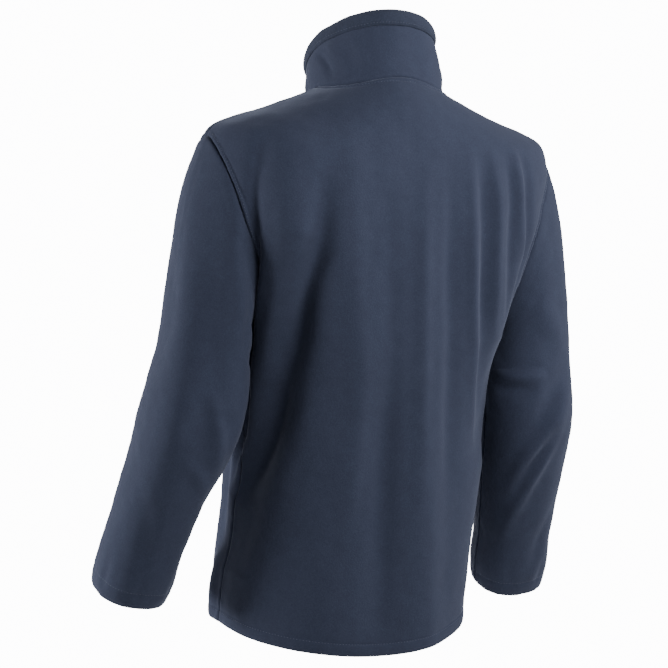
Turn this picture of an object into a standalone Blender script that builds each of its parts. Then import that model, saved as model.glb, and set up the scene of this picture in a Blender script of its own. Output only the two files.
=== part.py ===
"""A fleece zip jacket with a stand collar, filled out as on a wearer: metres, +Z up.

The origin is midway between the two side neck points, +X is the wearer's left and -Y the front.
Each cut piece is a wall between an outer and an inner grid of points. The grids are worked out
from the rows of a few short tables, and neighbouring pieces stand a seam gap apart.
"""

import math

import bmesh
import bpy
import numpy as np

# Cloth
WALL = 0.0022
COLLAR_WALL = 0.0040
SEAM_GAP = 0.0003

# Torso: a row a level, by its distance down the centre back from the neck seam. Each level is a
# ring with its own height and reach at the side, the centre back and the centre front.
TORSO_COLUMNS = (
    "drop", "side_z", "back_z", "front_z", "half_width", "side_y", "back_y", "front_y", "square"
)
TORSO_ROWS = (
    (0.000, 0.000, 0.017, -0.072, 0.080, 0.000, 0.056, -0.090, 2.2),
    (0.038, -0.016, -0.014, -0.092, 0.119, 0.004, 0.082, -0.096, 2.0),
    (0.076, -0.030, -0.049, -0.115, 0.159, 0.008, 0.098, -0.103, 2.0),
    (0.110, -0.042, -0.083, -0.138, 0.196, 0.012, 0.107, -0.109, 2.1),
    (0.138, -0.056, -0.112, -0.158, 0.222, 0.015, 0.112, -0.114, 2.2),
    (0.165, -0.083, -0.140, -0.177, 0.229, 0.016, 0.115, -0.118, 2.4),
    (0.205, -0.136, -0.180, -0.208, 0.219, 0.014, 0.117, -0.122, 2.7),
    (0.260, -0.208, -0.235, -0.252, 0.192, 0.011, 0.117, -0.126, 2.8),
    (0.325, -0.285, -0.300, -0.305, 0.168, 0.008, 0.116, -0.127, 2.6),
    (0.425, -0.395, -0.402, -0.400, 0.160, 0.002, 0.109, -0.127, 2.5),
    (0.545, -0.518, -0.524, -0.512, 0.158, -0.003, 0.110, -0.126, 2.5),
    (0.695, -0.655, -0.673, -0.650, 0.162, -0.006, 0.120, -0.127, 2.5),
)
# The left side hangs this much lower than the right, for each metre across.
TORSO_TILT = 0.017
SHOULDER_DROP = 0.148
UNDERARM_DROP = 0.325
HEM_DROP = 0.695
SHOULDER_SEAM_ANGLE = math.radians(-3)
ARMHOLE_BACK_ANGLE = math.radians(19)
ARMHOLE_FRONT_ANGLE = math.radians(24)
ARMHOLE_POINTEDNESS = 1.25
TORSO_GIRTH_RADIUS = 0.13

# Folds: each runs between two points and swells from nothing at its ends to its height midway.
# Angles are in degrees, from the wearer's left side round the back. A negative height is a trough.
FOLD_COLUMNS = ("start_angle", "start", "end_angle", "end", "half_width", "height")
TORSO_FOLDS = (
    (45, 0.130, 18, 0.520, 0.017, -0.0120),
    (52, 0.060, 66, 0.560, 0.034, 0.0040),
    (91, 0.220, 86, 0.560, 0.022, -0.0030),
    (106, 0.140, 124, 0.560, 0.020, 0.0045),
    (118, 0.080, 142, 0.470, 0.014, -0.0050),
    (136, 0.090, 157, 0.460, 0.011, 0.0045),
    (23, 0.120, 10, 0.390, 0.012, -0.0060),
    (159, 0.130, 166, 0.360, 0.012, -0.0050),
    (-34, 0.150, -56, 0.470, 0.018, -0.0080),
    (-52, 0.110, -74, 0.430, 0.022, 0.0040),
    (-147, 0.170, -122, 0.500, 0.019, -0.0070),
    (-128, 0.130, -108, 0.400, 0.022, 0.0035),
)

# Sleeves: a row a ring, by its distance down the arm from the level of the underarm. A ring
# reaches its own distance away from the body, towards it, and to the front and back.
SLEEVE_COLUMNS = ("reach", "x", "y", "z", "half_out", "half_in", "half_depth")
LEFT_SLEEVE_ROWS = (
    (0.000, 0.217, 0.014, -0.335, 0.053, 0.046, 0.062),
    (0.060, 0.228, 0.020, -0.394, 0.058, 0.055, 0.063),
    (0.140, 0.244, 0.006, -0.472, 0.053, 0.048, 0.055),
    (0.215, 0.257, -0.013, -0.545, 0.050, 0.044, 0.049),
    (0.278, 0.266, -0.031, -0.606, 0.048, 0.045, 0.047),
    (0.292, 0.268, -0.035, -0.621, 0.045, 0.042, 0.044),
)
RIGHT_SLEEVE_ROWS = (
    (0.000, 0.229, 0.013, -0.335, 0.062, 0.054, 0.063),
    (0.060, 0.236, 0.020, -0.394, 0.061, 0.057, 0.063),
    (0.140, 0.245, 0.006, -0.473, 0.055, 0.054, 0.056),
    (0.215, 0.256, -0.013, -0.548, 0.050, 0.049, 0.050),
    (0.288, 0.266, -0.033, -0.618, 0.049, 0.046, 0.048),
    (0.303, 0.268, -0.037, -0.633, 0.046, 0.043, 0.045),
)
CAP_LENGTH = 0.22
CAP_START_PULL = 0.62
CAP_END_PULL = 0.80
CAP_SHOULDER_WAY = (0.64, 0, -0.72)
CAP_UNDERARM_WAY = (0.35, 0, -0.92)
CAP_BACK_LEAN = 0.06
SLEEVE_SQUARE = 2.3
SLEEVE_GIRTH_RADIUS = 0.055
LEFT_SLEEVE_FOLDS = (
    (38, -0.190, 88, 0.060, 0.015, -0.0060),
    (24, -0.150, 46, 0.200, 0.016, 0.0030),
    (68, -0.190, 86, -0.060, 0.010, 0.0035),
    (84, 0.030, 118, 0.110, 0.009, 0.0050),
    (60, 0.075, 128, 0.060, 0.010, -0.0045),
    (200, -0.020, 262, 0.090, 0.012, 0.0050),
    (285, 0.010, 215, 0.130, 0.012, -0.0040),
)
RIGHT_SLEEVE_FOLDS = (
    (160, 0.000, 92, 0.012, 0.011, 0.0050),
    (100, -0.120, 62, -0.020, 0.012, 0.0040),
    (60, 0.030, 132, 0.150, 0.010, 0.0055),
    (64, 0.056, 136, 0.215, 0.010, 0.0045),
    (52, 0.000, 116, 0.080, 0.012, -0.0045),
    (300, -0.160, 262, 0.040, 0.015, -0.0050),
    (290, 0.020, 212, 0.120, 0.012, 0.0045),
)

# Collar: from the neck seam up to a level ring that leans forwards and down to the front
COLLAR_TOP_HALF_WIDTH = 0.071
COLLAR_TOP_HALF_DEPTH = 0.073
COLLAR_TOP_Y = -0.041
COLLAR_TOP_Z = 0.056
COLLAR_TOP_SLOPE = 0.568
COLLAR_TOP_SQUARE = 2.3
COLLAR_BULGE = 0.004
COLLAR_BULGE_BEHIND = 0.0016
COLLAR_FRAME_STEP = 0.02
BAND_START = 0.76
BAND_COLUMNS = ("up", "out")
BAND_ROWS = (
    (0.0004, -0.0002),
    (0.0020, 0.0026),
    (0.0070, 0.0038),
    (0.0130, 0.0033),
    (0.0180, 0.0014),
    (0.0200, -0.0016),
    (0.0182, -0.0038),
    (0.0120, -0.0043),
    (0.0060, -0.0043),
    (0.0004, -0.0038),
)

# Zip: chain, tapes and slider follow the front centre line from the hem to the collar's top
FRONT_EDGE = 0.0070
TAPE_HALF_WIDTH = 0.015
TAPE_THICKNESS = 0.0008
TAPE_BEHIND_BODY = 0.0032
TAPE_BEHIND_COLLAR = 0.0050
TAPE_STEP_END = 0.030
TAPE_STEP_LENGTH = 0.022
TAPE_BELOW_TOP = 0.004
CHAIN_BELOW_TOP = 0.007
CHAIN_ABOVE_BOX = 0.0005
CHAIN_HALF_WIDTH = 0.0029
CHAIN_THICKNESS = 0.0019
BOX_HALF_WIDTH = 0.0045
BOX_LENGTH = 0.009
BOX_THICKNESS = 0.0032
SLIDER_BELOW_TOP = 0.030
SLIDER_LENGTH = 0.011
SLIDER_TOP_HALF_WIDTH = 0.0052
SLIDER_FOOT_HALF_WIDTH = 0.0044
SLIDER_PLATE = 0.0014
SLIDER_RAIL_WIDTH = 0.0011
SLIDER_RAIL_DEPTH = 0.0017
BRIDGE_HALF_WIDTH = 0.0009
BRIDGE_HALF_LENGTH = 0.0036
BRIDGE_HEIGHT = 0.0031
BRIDGE_THICKNESS = 0.0009
BRIDGE_SUNK = 0.0004
BRIDGE_SQUARENESS = 0.55
BRIDGE_STEPS = 13
SLIDER_SECTIONS = 5
BOX_ROUNDING = ((0.0, 0.0006), (0.08, 0.0), (0.86, 0.0), (0.94, 0.0006))
PULL_THICKNESS = 0.0012
PULL_COLUMNS = ("outer_x", "outer_down", "eye_x", "eye_down")
PULL_ROWS = (
    (0.0000, -0.0006, 0.0000, 0.0006),
    (0.0026, -0.0006, 0.0015, 0.0006),
    (0.0033, -0.0001, 0.0020, 0.0009),
    (0.0035, 0.0010, 0.0021, 0.0016),
    (0.0035, 0.0050, 0.0021, 0.0026),
    (0.0032, 0.0130, 0.0021, 0.0036),
    (0.0030, 0.0240, 0.0018, 0.0043),
    (0.0022, 0.0287, 0.0011, 0.0046),
    (0.0000, 0.0300, 0.0000, 0.0046),
)

# Grids
SHOULDER_STEPS = 5
ARMHOLE_STEPS = 11
BODY_STEPS = 13
BACK_COLUMNS = 26
FRONT_COLUMNS = 13
CAP_STEPS = 8
ARM_STEPS = 14
COLLAR_STEPS = 4
COLLAR_COLUMNS = 36
ZIP_COLLAR_STEPS = 6
CURVE_SAMPLES = 97
SMALL_STEP = 0.001
SHARP_ANGLE = math.radians(50)

# Materials
FLEECE_COLOR = (0.043, 0.056, 0.092, 1.0)
BAND_FLEECE_COLOR = (0.038, 0.050, 0.084, 1.0)
TAPE_COLOR = (0.020, 0.026, 0.045, 1.0)
PLASTIC_COLOR = (0.012, 0.015, 0.026, 1.0)
METAL_COLOR = (0.060, 0.064, 0.075, 1.0)
FLEECE_ROUGHNESS = 0.95
TAPE_ROUGHNESS = 0.90
PLASTIC_ROUGHNESS = 0.45
METAL_ROUGHNESS = 0.35


class Table:
    """Rows with named columns, read between the rows along a smooth curve through them."""

    def __init__(self, columns, rows):
        self.columns = columns
        self.rows = np.array(rows, float)
        self.keys = self.rows[:, 0]
        steps = np.diff(self.keys)[:, None]
        slopes = np.diff(self.rows, axis=0) / steps
        inner = (slopes[:-1] * steps[1:] + slopes[1:] * steps[:-1]) / (steps[:-1] + steps[1:])
        self.slopes = np.vstack([slopes[:1], inner, slopes[-1:]])

    def at(self, key):
        key = np.clip(np.asarray(key, float), self.keys[0], self.keys[-1])
        row = np.clip(np.searchsorted(self.keys, key, side="right") - 1, 0, len(self.keys) - 2)
        step = self.keys[row + 1] - self.keys[row]
        part = ((key - self.keys[row]) / step)[..., None]
        start_pull = self.slopes[row] * step[..., None]
        end_pull = self.slopes[row + 1] * step[..., None]
        values = hermite(self.rows[row], start_pull, self.rows[row + 1], end_pull, part)
        return {column: values[..., index] for index, column in enumerate(self.columns)}


def hermite(start, start_pull, end, end_pull, part):
    """A cubic from start to end, leaving along start_pull and arriving along end_pull."""
    square = 3 * (end - start) - 2 * start_pull - end_pull
    cube = 2 * (start - end) + start_pull + end_pull
    return start + part * start_pull + part**2 * square + part**3 * cube


def unit(vectors):
    return vectors / np.linalg.norm(vectors, axis=-1, keepdims=True)


def squarish_radius(cosine, sine, half_width, half_depth, power):
    """The reach of a ring between an ellipse and a rectangle, in the direction given."""
    across = (np.abs(cosine) / half_width) ** power
    deep = (np.abs(sine) / half_depth) ** power
    return (across + deep) ** (-1 / power)


def outward_normal(surface, around, along):
    """The surface's unit normal. Seen from outside, around runs anticlockwise and along runs down."""
    around_step = surface(around + SMALL_STEP, along) - surface(around - SMALL_STEP, along)
    along_step = surface(around, along + SMALL_STEP) - surface(around, along - SMALL_STEP)
    return unit(np.cross(along_step, around_step))


def fold_height(folds, angle, along, girth_radius):
    """The height of all the folds at a point, given by its angle and its distance along."""
    total = np.zeros(np.broadcast(angle, along).shape)
    for row in folds:
        fold = dict(zip(FOLD_COLUMNS, row))
        start_angle = math.radians(fold["start_angle"])
        end_angle = math.radians(fold["end_angle"])
        middle = (start_angle + end_angle) / 2
        near = middle + (angle - middle + math.pi) % (2 * math.pi) - math.pi
        run_across = (end_angle - start_angle) * girth_radius
        run_along = fold["end"] - fold["start"]
        across = (near - start_angle) * girth_radius
        past = along - fold["start"]
        length_squared = run_across**2 + run_along**2
        part = np.clip((across * run_across + past * run_along) / length_squared, 0, 1)
        away_squared = (across - part * run_across) ** 2 + (past - part * run_along) ** 2
        swell = np.sin(math.pi * part) * np.exp(-away_squared / fold["half_width"] ** 2)
        total = total + fold["height"] * swell
    return total


# ---- torso

TORSO = Table(TORSO_COLUMNS, TORSO_ROWS)


def torso_form(angle, drop):
    """A point of the torso without folds: its angle round a level, and that level's drop."""
    angle, drop = np.broadcast_arrays(np.asarray(angle, float), np.asarray(drop, float))
    level = TORSO.at(drop)
    cosine, sine = np.cos(angle), np.sin(angle)
    end_z = np.where(sine > 0, level["back_z"], level["front_z"])
    end_y = np.where(sine > 0, level["back_y"], level["front_y"])
    depth = np.abs(end_y - level["side_y"])
    radius = squarish_radius(cosine, sine, level["half_width"], depth, level["square"])
    x = radius * cosine
    z = level["side_z"] * cosine**2 + end_z * sine**2 - TORSO_TILT * x
    return np.stack([x, level["side_y"] + radius * sine, z], axis=-1)


def torso_normal(angle, drop):
    return outward_normal(torso_form, np.asarray(angle, float), np.asarray(drop, float))


def torso_cloth(angle, drop):
    height = fold_height(TORSO_FOLDS, angle, drop, TORSO_GIRTH_RADIUS)
    return torso_form(angle, drop) + height[..., None] * torso_normal(angle, drop)


def even_angles(curve, start, end, count):
    """count + 1 angles from start to end whose points on the curve are evenly spaced."""
    angles = np.linspace(start, end, CURVE_SAMPLES)
    lengths = np.linalg.norm(np.diff(curve(angles), axis=0), axis=1)
    travelled = np.concatenate([[0], np.cumsum(lengths)])
    return np.interp(np.linspace(0, travelled[-1], count + 1), travelled, angles)


def armhole(side, turn):
    """The armhole's angle and drop. The turn starts at the shoulder and goes round by the back."""
    reach = np.where(np.sin(turn) > 0, ARMHOLE_BACK_ANGLE, ARMHOLE_FRONT_ANGLE)
    sine = np.sin(turn)
    away = np.sign(sine) * np.abs(sine) ** ARMHOLE_POINTEDNESS
    angle = SHOULDER_SEAM_ANGLE * (1 + np.cos(turn)) / 2 + reach * away
    middle = (SHOULDER_DROP + UNDERARM_DROP) / 2
    drop = middle - (UNDERARM_DROP - SHOULDER_DROP) / 2 * np.cos(turn)
    return (angle if side > 0 else math.pi - angle), drop


def armhole_point(side, turn):
    return torso_cloth(*armhole(side, turn))


def armhole_into_body(side, turn):
    """Across the armhole seam, in the torso's surface, away from the sleeve."""
    along = armhole_point(side, turn + SMALL_STEP) - armhole_point(side, turn - SMALL_STEP)
    return side * unit(np.cross(torso_normal(*armhole(side, turn)), along))


def armhole_inwards(side, turn):
    """The way a wall's thickness goes at the armhole: towards the middle of the opening."""
    ring = armhole_point(side, whole_turns())
    return unit(ring.mean(axis=0) - armhole_point(side, turn))


def neck_inwards(angle):
    """The way a wall's thickness goes at the neck seam: between the torso's and the collar's."""
    outwards = torso_cloth(angle, 0) * np.array([1, 1, 0])
    return -unit(torso_normal(angle, 0) + unit(outwards))


# ---- walls

def wall(name, outer, inner, material, wraps=False):
    """A closed solid between two grids of points, each with the shape rows x columns x 3."""
    rows, columns = outer.shape[:2]
    mesh = bmesh.new()
    out, into = ([[mesh.verts.new(point) for point in row] for row in grid] for grid in (outer, inner))
    last = columns if wraps else columns - 1
    for column in range(last):
        after = (column + 1) % columns
        for row in range(rows - 1):
            below = row + 1
            for side in (out, into):
                corners = (side[row][column], side[row][after], side[below][after], side[below][column])
                mesh.faces.new(corners)
        for row in (0, rows - 1):
            mesh.faces.new((out[row][column], out[row][after], into[row][after], into[row][column]))
    if not wraps:
        for column in (0, columns - 1):
            for row in range(rows - 1):
                below = row + 1
                corners = (out[row][column], out[below][column], into[below][column], into[row][column])
                mesh.faces.new(corners)
    return finished(name, mesh, material)


def finished(name, mesh, material, smooth=True):
    """The bmesh as a named object, with its faces pointing outwards."""
    bmesh.ops.recalc_face_normals(mesh, faces=mesh.faces[:])
    data = bpy.data.meshes.new(name)
    mesh.to_mesh(data)
    mesh.free()
    if smooth:
        data.shade_smooth()
        data.set_sharp_from_angle(angle=SHARP_ANGLE)
    data.materials.append(material)
    made = bpy.data.objects.new(name, data)
    bpy.context.scene.collection.objects.link(made)
    return made


def principled(name, color, roughness, metallic=0.0):
    material = bpy.data.materials.new(name)
    material.use_nodes = True
    shader = material.node_tree.nodes["Principled BSDF"]
    shader.inputs["Base Color"].default_value = color
    shader.inputs["Roughness"].default_value = roughness
    shader.inputs["Metallic"].default_value = metallic
    return material


# ---- back and fronts

def armhole_turns():
    """The turns of the armhole's points on the back, from the shoulder to the underarm.

    They lie midway between even turns and even drops.
    """
    part = np.linspace(0, 1, ARMHOLE_STEPS + 1)
    return (math.pi * part + np.arccos(1 - 2 * part)) / 2


def whole_turns():
    """The turns of the armhole's points all the way round."""
    turns = armhole_turns()[:-1]
    return np.concatenate([turns, math.pi + turns[0:1], 2 * math.pi - turns[:0:-1]])


def torso_drops():
    shoulder = np.linspace(0, SHOULDER_DROP, SHOULDER_STEPS + 1)
    beside_armhole = armhole(1, armhole_turns())[1][1:-1]
    body = np.linspace(UNDERARM_DROP, HEM_DROP, BODY_STEPS + 1)
    return np.concatenate([shoulder, beside_armhole, body])


def edge_angles(front):
    """The angle of the left-hand seams at each drop: shoulder seam, armhole, side seam."""
    turns = armhole_turns()[1:-1]
    beside_armhole = armhole(1, 2 * math.pi - turns if front else turns)[0]
    shoulder = np.full(SHOULDER_STEPS + 1, SHOULDER_SEAM_ANGLE)
    return np.concatenate([shoulder, beside_armhole, np.zeros(BODY_STEPS + 1)])


def zip_edge_angle(drop, half_gap):
    """How far the front edge, half_gap beside the centre, turns from straight ahead."""
    level = TORSO.at(drop)
    return half_gap / (level["side_y"] - level["front_y"])


def torso_panel(name, start_angles, end_angles, columns, seams, material):
    """A panel of the torso. seams gives for its first and last column: "left", "right" or "zip"."""
    drops = torso_drops()
    angles = []
    for drop, start, end in zip(drops, start_angles, end_angles):
        angles.append(even_angles(lambda angle: torso_form(angle, drop), start, end, columns))
    angles = np.array(angles)
    levels = np.repeat(drops[:, None], columns + 1, axis=1)
    outer = torso_cloth(angles, levels)
    inwards = -torso_normal(angles, levels)
    inwards[0] = neck_inwards(angles[0])
    front = np.sin(angles[-1, columns // 2]) < 0
    turns = 2 * math.pi - armhole_turns() if front else armhole_turns()
    shoulder_row = SHOULDER_STEPS
    underarm_row = SHOULDER_STEPS + ARMHOLE_STEPS
    armhole_rows = slice(shoulder_row, underarm_row + 1)
    for column, beside, seam in ((0, 1, seams[0]), (-1, -2, seams[1])):
        if seam == "zip":
            continue
        side = 1 if seam == "left" else -1
        shift = unit(outer[:, beside] - outer[:, column]) * (SEAM_GAP / 2)
        shift[[shoulder_row, underarm_row]] *= 2
        shift[shoulder_row + 1 : underarm_row] = 0
        shift[armhole_rows] += armhole_into_body(side, turns) * (SEAM_GAP / 2)
        outer[:, column] += shift
        inwards[armhole_rows, column] = armhole_inwards(side, turns)
    outer[0] += unit(outer[1] - outer[0]) * SEAM_GAP
    return wall(name, outer, outer + inwards * WALL, material)


def make_torso(material):
    back_edge = edge_angles(front=False)
    front_edge = edge_angles(front=True)
    zip_edge = zip_edge_angle(torso_drops(), FRONT_EDGE) - math.pi / 2
    right_front_edge = -math.pi - front_edge
    right_zip_edge = -math.pi - zip_edge
    torso_panel("back", back_edge, math.pi - back_edge, BACK_COLUMNS, ("left", "right"), material)
    torso_panel("front_left", zip_edge, front_edge, FRONT_COLUMNS, ("zip", "left"), material)
    torso_panel(
        "front_right", right_front_edge, right_zip_edge, FRONT_COLUMNS, ("right", "zip"), material
    )


# ---- sleeves

SLEEVES = {1: Table(SLEEVE_COLUMNS, LEFT_SLEEVE_ROWS), -1: Table(SLEEVE_COLUMNS, RIGHT_SLEEVE_ROWS)}
SLEEVE_FOLDS = {1: LEFT_SLEEVE_FOLDS, -1: RIGHT_SLEEVE_FOLDS}


def arm_form(side, turn, reach):
    """A point of the sleeve below the cap, as on the wearer's left arm."""
    ring = SLEEVES[side].at(reach)
    inside = np.clip(reach, SMALL_STEP, SLEEVES[side].keys[-1] - SMALL_STEP)
    before = SLEEVES[side].at(inside - SMALL_STEP)
    after = SLEEVES[side].at(inside + SMALL_STEP)
    centre = np.stack([ring["x"], ring["y"], ring["z"]], axis=-1)
    along = unit(np.stack([after[axis] - before[axis] for axis in "xyz"], axis=-1))
    outwards = unit(np.array([1.0, 0, 0]) - along[..., :1] * along)
    backwards = np.cross(outwards, along)
    cosine, sine = np.cos(turn), np.sin(turn)
    half_side = np.where(cosine > 0, ring["half_out"], ring["half_in"])
    radius = squarish_radius(cosine, sine, half_side, ring["half_depth"], SLEEVE_SQUARE)
    return centre + (radius * cosine)[..., None] * outwards + (radius * sine)[..., None] * backwards


def cap_leaving(turn):
    """The way the cap leaves the armhole, steeper under the arm than at the shoulder."""
    shoulder, underarm = np.array(CAP_SHOULDER_WAY), np.array(CAP_UNDERARM_WAY)
    lean = np.array([0, CAP_BACK_LEAN, 0])
    cosine, sine = np.cos(turn)[..., None], np.sin(turn)[..., None]
    return unit((shoulder + underarm) / 2 + (shoulder - underarm) / 2 * cosine + lean * sine)


def sleeve_form(side, turn, reach):
    """A point of the sleeve without folds, as on the left arm. A reach below 0 is on the cap."""
    turn, reach = np.broadcast_arrays(np.asarray(turn, float), np.asarray(reach, float))
    mirror = np.array([side, 1, 1])
    start = armhole_point(side, turn) * mirror
    arm = arm_form(side, turn, np.maximum(reach, 0))
    end = arm_form(side, turn, np.zeros_like(turn))
    leaving = unit(arm_form(side, turn, np.full_like(turn, 2 * SMALL_STEP)) - end)
    length = np.linalg.norm(end - start, axis=-1)[..., None]
    part = np.clip(reach / CAP_LENGTH + 1, 0, 1)[..., None]
    start_pull = cap_leaving(turn) * length * CAP_START_PULL
    end_pull = leaving * length * CAP_END_PULL
    cap = hermite(start, start_pull, end, end_pull, part)
    return np.where(reach[..., None] > 0, arm, cap)


def sleeve_normal(side, turn, reach):
    reach = np.clip(reach, SMALL_STEP - CAP_LENGTH, None)
    return outward_normal(lambda around, along: sleeve_form(side, around, along), turn, reach)


def make_sleeve(name, side, material):
    turns = whole_turns()
    cuff = SLEEVES[side].keys[-1]
    arm_reaches = np.linspace(0, cuff, ARM_STEPS + 1)[1:]
    reaches = np.concatenate([np.linspace(-CAP_LENGTH, 0, CAP_STEPS + 1), arm_reaches])
    turn, reach = np.meshgrid(turns, reaches)
    normal = sleeve_normal(side, turn, reach)
    height = fold_height(SLEEVE_FOLDS[side], turn, reach, SLEEVE_GIRTH_RADIUS)
    outer = sleeve_form(side, turn, reach) + height[..., None] * normal
    inwards = -normal
    mirror = np.array([side, 1, 1])
    inwards[0] = armhole_inwards(side, turns) * mirror
    outer[0] = sleeve_form(side, turns, np.full_like(turns, -CAP_LENGTH))
    outer[0] += unit(cap_leaving(turns) - armhole_into_body(side, turns) * mirror) * SEAM_GAP
    return wall(name, outer * mirror, (outer + inwards * WALL) * mirror, material, wraps=True)


# ---- collar

def collar_top(angle):
    """A point of the collar's upper edge."""
    cosine, sine = np.cos(angle), np.sin(angle)
    radius = squarish_radius(
        cosine, sine, COLLAR_TOP_HALF_WIDTH, COLLAR_TOP_HALF_DEPTH, COLLAR_TOP_SQUARE
    )
    y = radius * sine
    z = COLLAR_TOP_Z + COLLAR_TOP_SLOPE * y
    return np.stack([radius * cosine, COLLAR_TOP_Y + y, z], axis=-1)


def neck_edge(angle):
    return torso_cloth(angle, np.zeros_like(angle))


def collar_angles(half_gap):
    """The angles of the collar's columns, on its lower edge and on its upper edge.

    They run from one zip edge round the back to the other.
    """
    neck_reach = -TORSO.rows[0][TORSO_COLUMNS.index("front_y")]
    found = []
    for curve, reach in ((neck_edge, neck_reach), (collar_top, COLLAR_TOP_HALF_DEPTH)):
        turned = half_gap / reach
        start = turned - math.pi / 2
        end = 1.5 * math.pi - turned
        found.append(even_angles(curve, start, end, COLLAR_COLUMNS))
    return found


def collar_form(low_angle, top_angle, part):
    """A point of the collar's outer face, part of the way from the neck seam to the upper edge."""
    low, top = neck_edge(low_angle), collar_top(top_angle)
    sideways = COLLAR_BULGE * np.cos(top_angle)
    backwards = COLLAR_BULGE_BEHIND * np.sin(top_angle)
    bulge = np.stack([sideways, backwards, np.zeros_like(top_angle)], axis=-1)
    return low + (top - low) * part + bulge * math.sin(math.pi * part)


def collar_frame(low_angle, top_angle, part):
    """The collar's directions at a part of its height: up its face and out from it."""
    low = collar_form(low_angle, top_angle, part - COLLAR_FRAME_STEP)
    high = collar_form(low_angle, top_angle, part + COLLAR_FRAME_STEP)
    upwards = unit(high - low)
    around = np.gradient(collar_form(low_angle, top_angle, part), axis=0)
    return upwards, unit(np.cross(around, upwards))


def make_collar(material, band_material):
    low_angle, top_angle = collar_angles(FRONT_EDGE)
    parts = np.linspace(0, BAND_START, COLLAR_STEPS + 1)
    outer = np.array([collar_form(low_angle, top_angle, part) for part in parts])
    inwards = np.array([-collar_frame(low_angle, top_angle, part)[1] for part in parts])
    inwards[0] = neck_inwards(low_angle)
    outer[0] += unit(outer[1] - outer[0]) * SEAM_GAP
    wall("collar", outer, outer + inwards * COLLAR_WALL, material)

    base = collar_form(low_angle, top_angle, BAND_START)
    upwards, outwards = collar_frame(low_angle, top_angle, BAND_START)
    profile = [dict(zip(BAND_COLUMNS, row)) for row in BAND_ROWS]
    rings = []
    for start, up, out in zip(base, upwards, outwards):
        rings.append([start + up * point["up"] + out * point["out"] for point in profile])
    loft("collar_band", rings, band_material)


# ---- zip

def front_line(x):
    """Points of the outer cloth from the hem up, at a small distance x beside the centre."""
    drops = torso_drops()[::-1]
    body = torso_cloth(zip_edge_angle(drops, x) - math.pi / 2, drops)
    low_angle = zip_edge_angle(np.zeros(1), x) - math.pi / 2
    top_angle = np.array([x / COLLAR_TOP_HALF_DEPTH - math.pi / 2])
    parts = np.linspace(0, 1, ZIP_COLLAR_STEPS + 1)[1:]
    collar = np.array([collar_form(low_angle, top_angle, part)[0] for part in parts])
    return np.concatenate([body, collar])


def zip_rows():
    """Rows down the zip: its place on the outer cloth, the ways forward and up, the tape's depth."""
    points = front_line(0.0)[::-1]
    upwards = -unit(np.gradient(points, axis=0))
    forwards = np.stack([upwards[:, 0], -upwards[:, 2], upwards[:, 1]], axis=-1)
    below_top = np.concatenate([[0], np.cumsum(np.linalg.norm(np.diff(points, axis=0), axis=1))])
    neck_z = torso_form(-math.pi / 2, 0)[2]
    part = np.clip((points[:, 2] - neck_z + TAPE_STEP_END) / TAPE_STEP_LENGTH, 0, 1)
    depth = TAPE_BEHIND_BODY + (TAPE_BEHIND_COLLAR - TAPE_BEHIND_BODY) * part**2 * (3 - 2 * part)
    return below_top, points, forwards, upwards, depth


def zip_frame(distance):
    """The zip's place, ways forward and up, and tape depth at a distance below its top."""
    below_top, points, forwards, upwards, depth = zip_rows()
    place, forward, upward = (
        np.array([np.interp(distance, below_top, column) for column in values.T])
        for values in (points, forwards, upwards)
    )
    return place, unit(forward), unit(upward), np.interp(distance, below_top, depth)


def zip_distances(start, end_gap):
    """Distances below the top where a strip bends, from start to end_gap above the hem."""
    below_top = zip_rows()[0]
    end = below_top[-1] - end_gap
    between = below_top[(below_top > start + SMALL_STEP) & (below_top < end - SMALL_STEP)]
    return np.concatenate([[start], between, [end]])


def make_tape(name, side, material):
    below_top, _, forwards, _, depth = zip_rows()
    distances = zip_distances(TAPE_BELOW_TOP, 0)
    columns = []
    for x in (SEAM_GAP / 2, TAPE_HALF_WIDTH):
        behind = front_line(x)[::-1] - forwards * depth[:, None]
        column = np.array([np.interp(distances, below_top, values) for values in behind.T]).T
        columns.append(column * np.array([side, 1, 1]))
    front = np.stack(columns, axis=1)
    ways = np.array([zip_frame(distance)[1] for distance in distances])
    return wall(name, front, front - ways[:, None] * TAPE_THICKNESS, material)


def make_chain(material):
    outer, inner = [], []
    for distance in zip_distances(CHAIN_BELOW_TOP, BOX_LENGTH + CHAIN_ABOVE_BOX):
        place, forward, _, depth = zip_frame(distance)
        back = place - forward * (depth - SEAM_GAP)
        across = np.array([[-CHAIN_HALF_WIDTH, 0, 0], [CHAIN_HALF_WIDTH, 0, 0]])
        inner.append(back + across)
        outer.append(back + across + forward * CHAIN_THICKNESS)
    return wall("zip_chain", np.array(outer), np.array(inner), material)


def loft(name, rings, material, smooth=True):
    """A closed solid through rings of points, with its two ends capped."""
    mesh = bmesh.new()
    rings = [[mesh.verts.new(point) for point in ring] for ring in rings]
    for ring, following in zip(rings, rings[1:]):
        for index in range(len(ring)):
            after = (index + 1) % len(ring)
            mesh.faces.new((ring[index], ring[after], following[after], following[index]))
    mesh.faces.new(rings[0])
    mesh.faces.new(rings[-1])
    return finished(name, mesh, material, smooth)


def make_box(material):
    hem_distance = zip_rows()[0][-1]
    rings = []
    for below, shrink in BOX_ROUNDING:
        distance = hem_distance - BOX_LENGTH + below * BOX_LENGTH
        place, forward, _, depth = zip_frame(distance)
        back = place - forward * (depth - SEAM_GAP)
        half = BOX_HALF_WIDTH - shrink
        front = BOX_THICKNESS - shrink
        right = ((half, 0), (half, front - shrink), (half - shrink, front))
        corners = right + tuple((-x, out) for x, out in right[::-1])
        rings.append([back + np.array([x, 0, 0]) + forward * out for x, out in corners])
    return loft("zip_box", rings, material, smooth=False)


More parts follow.
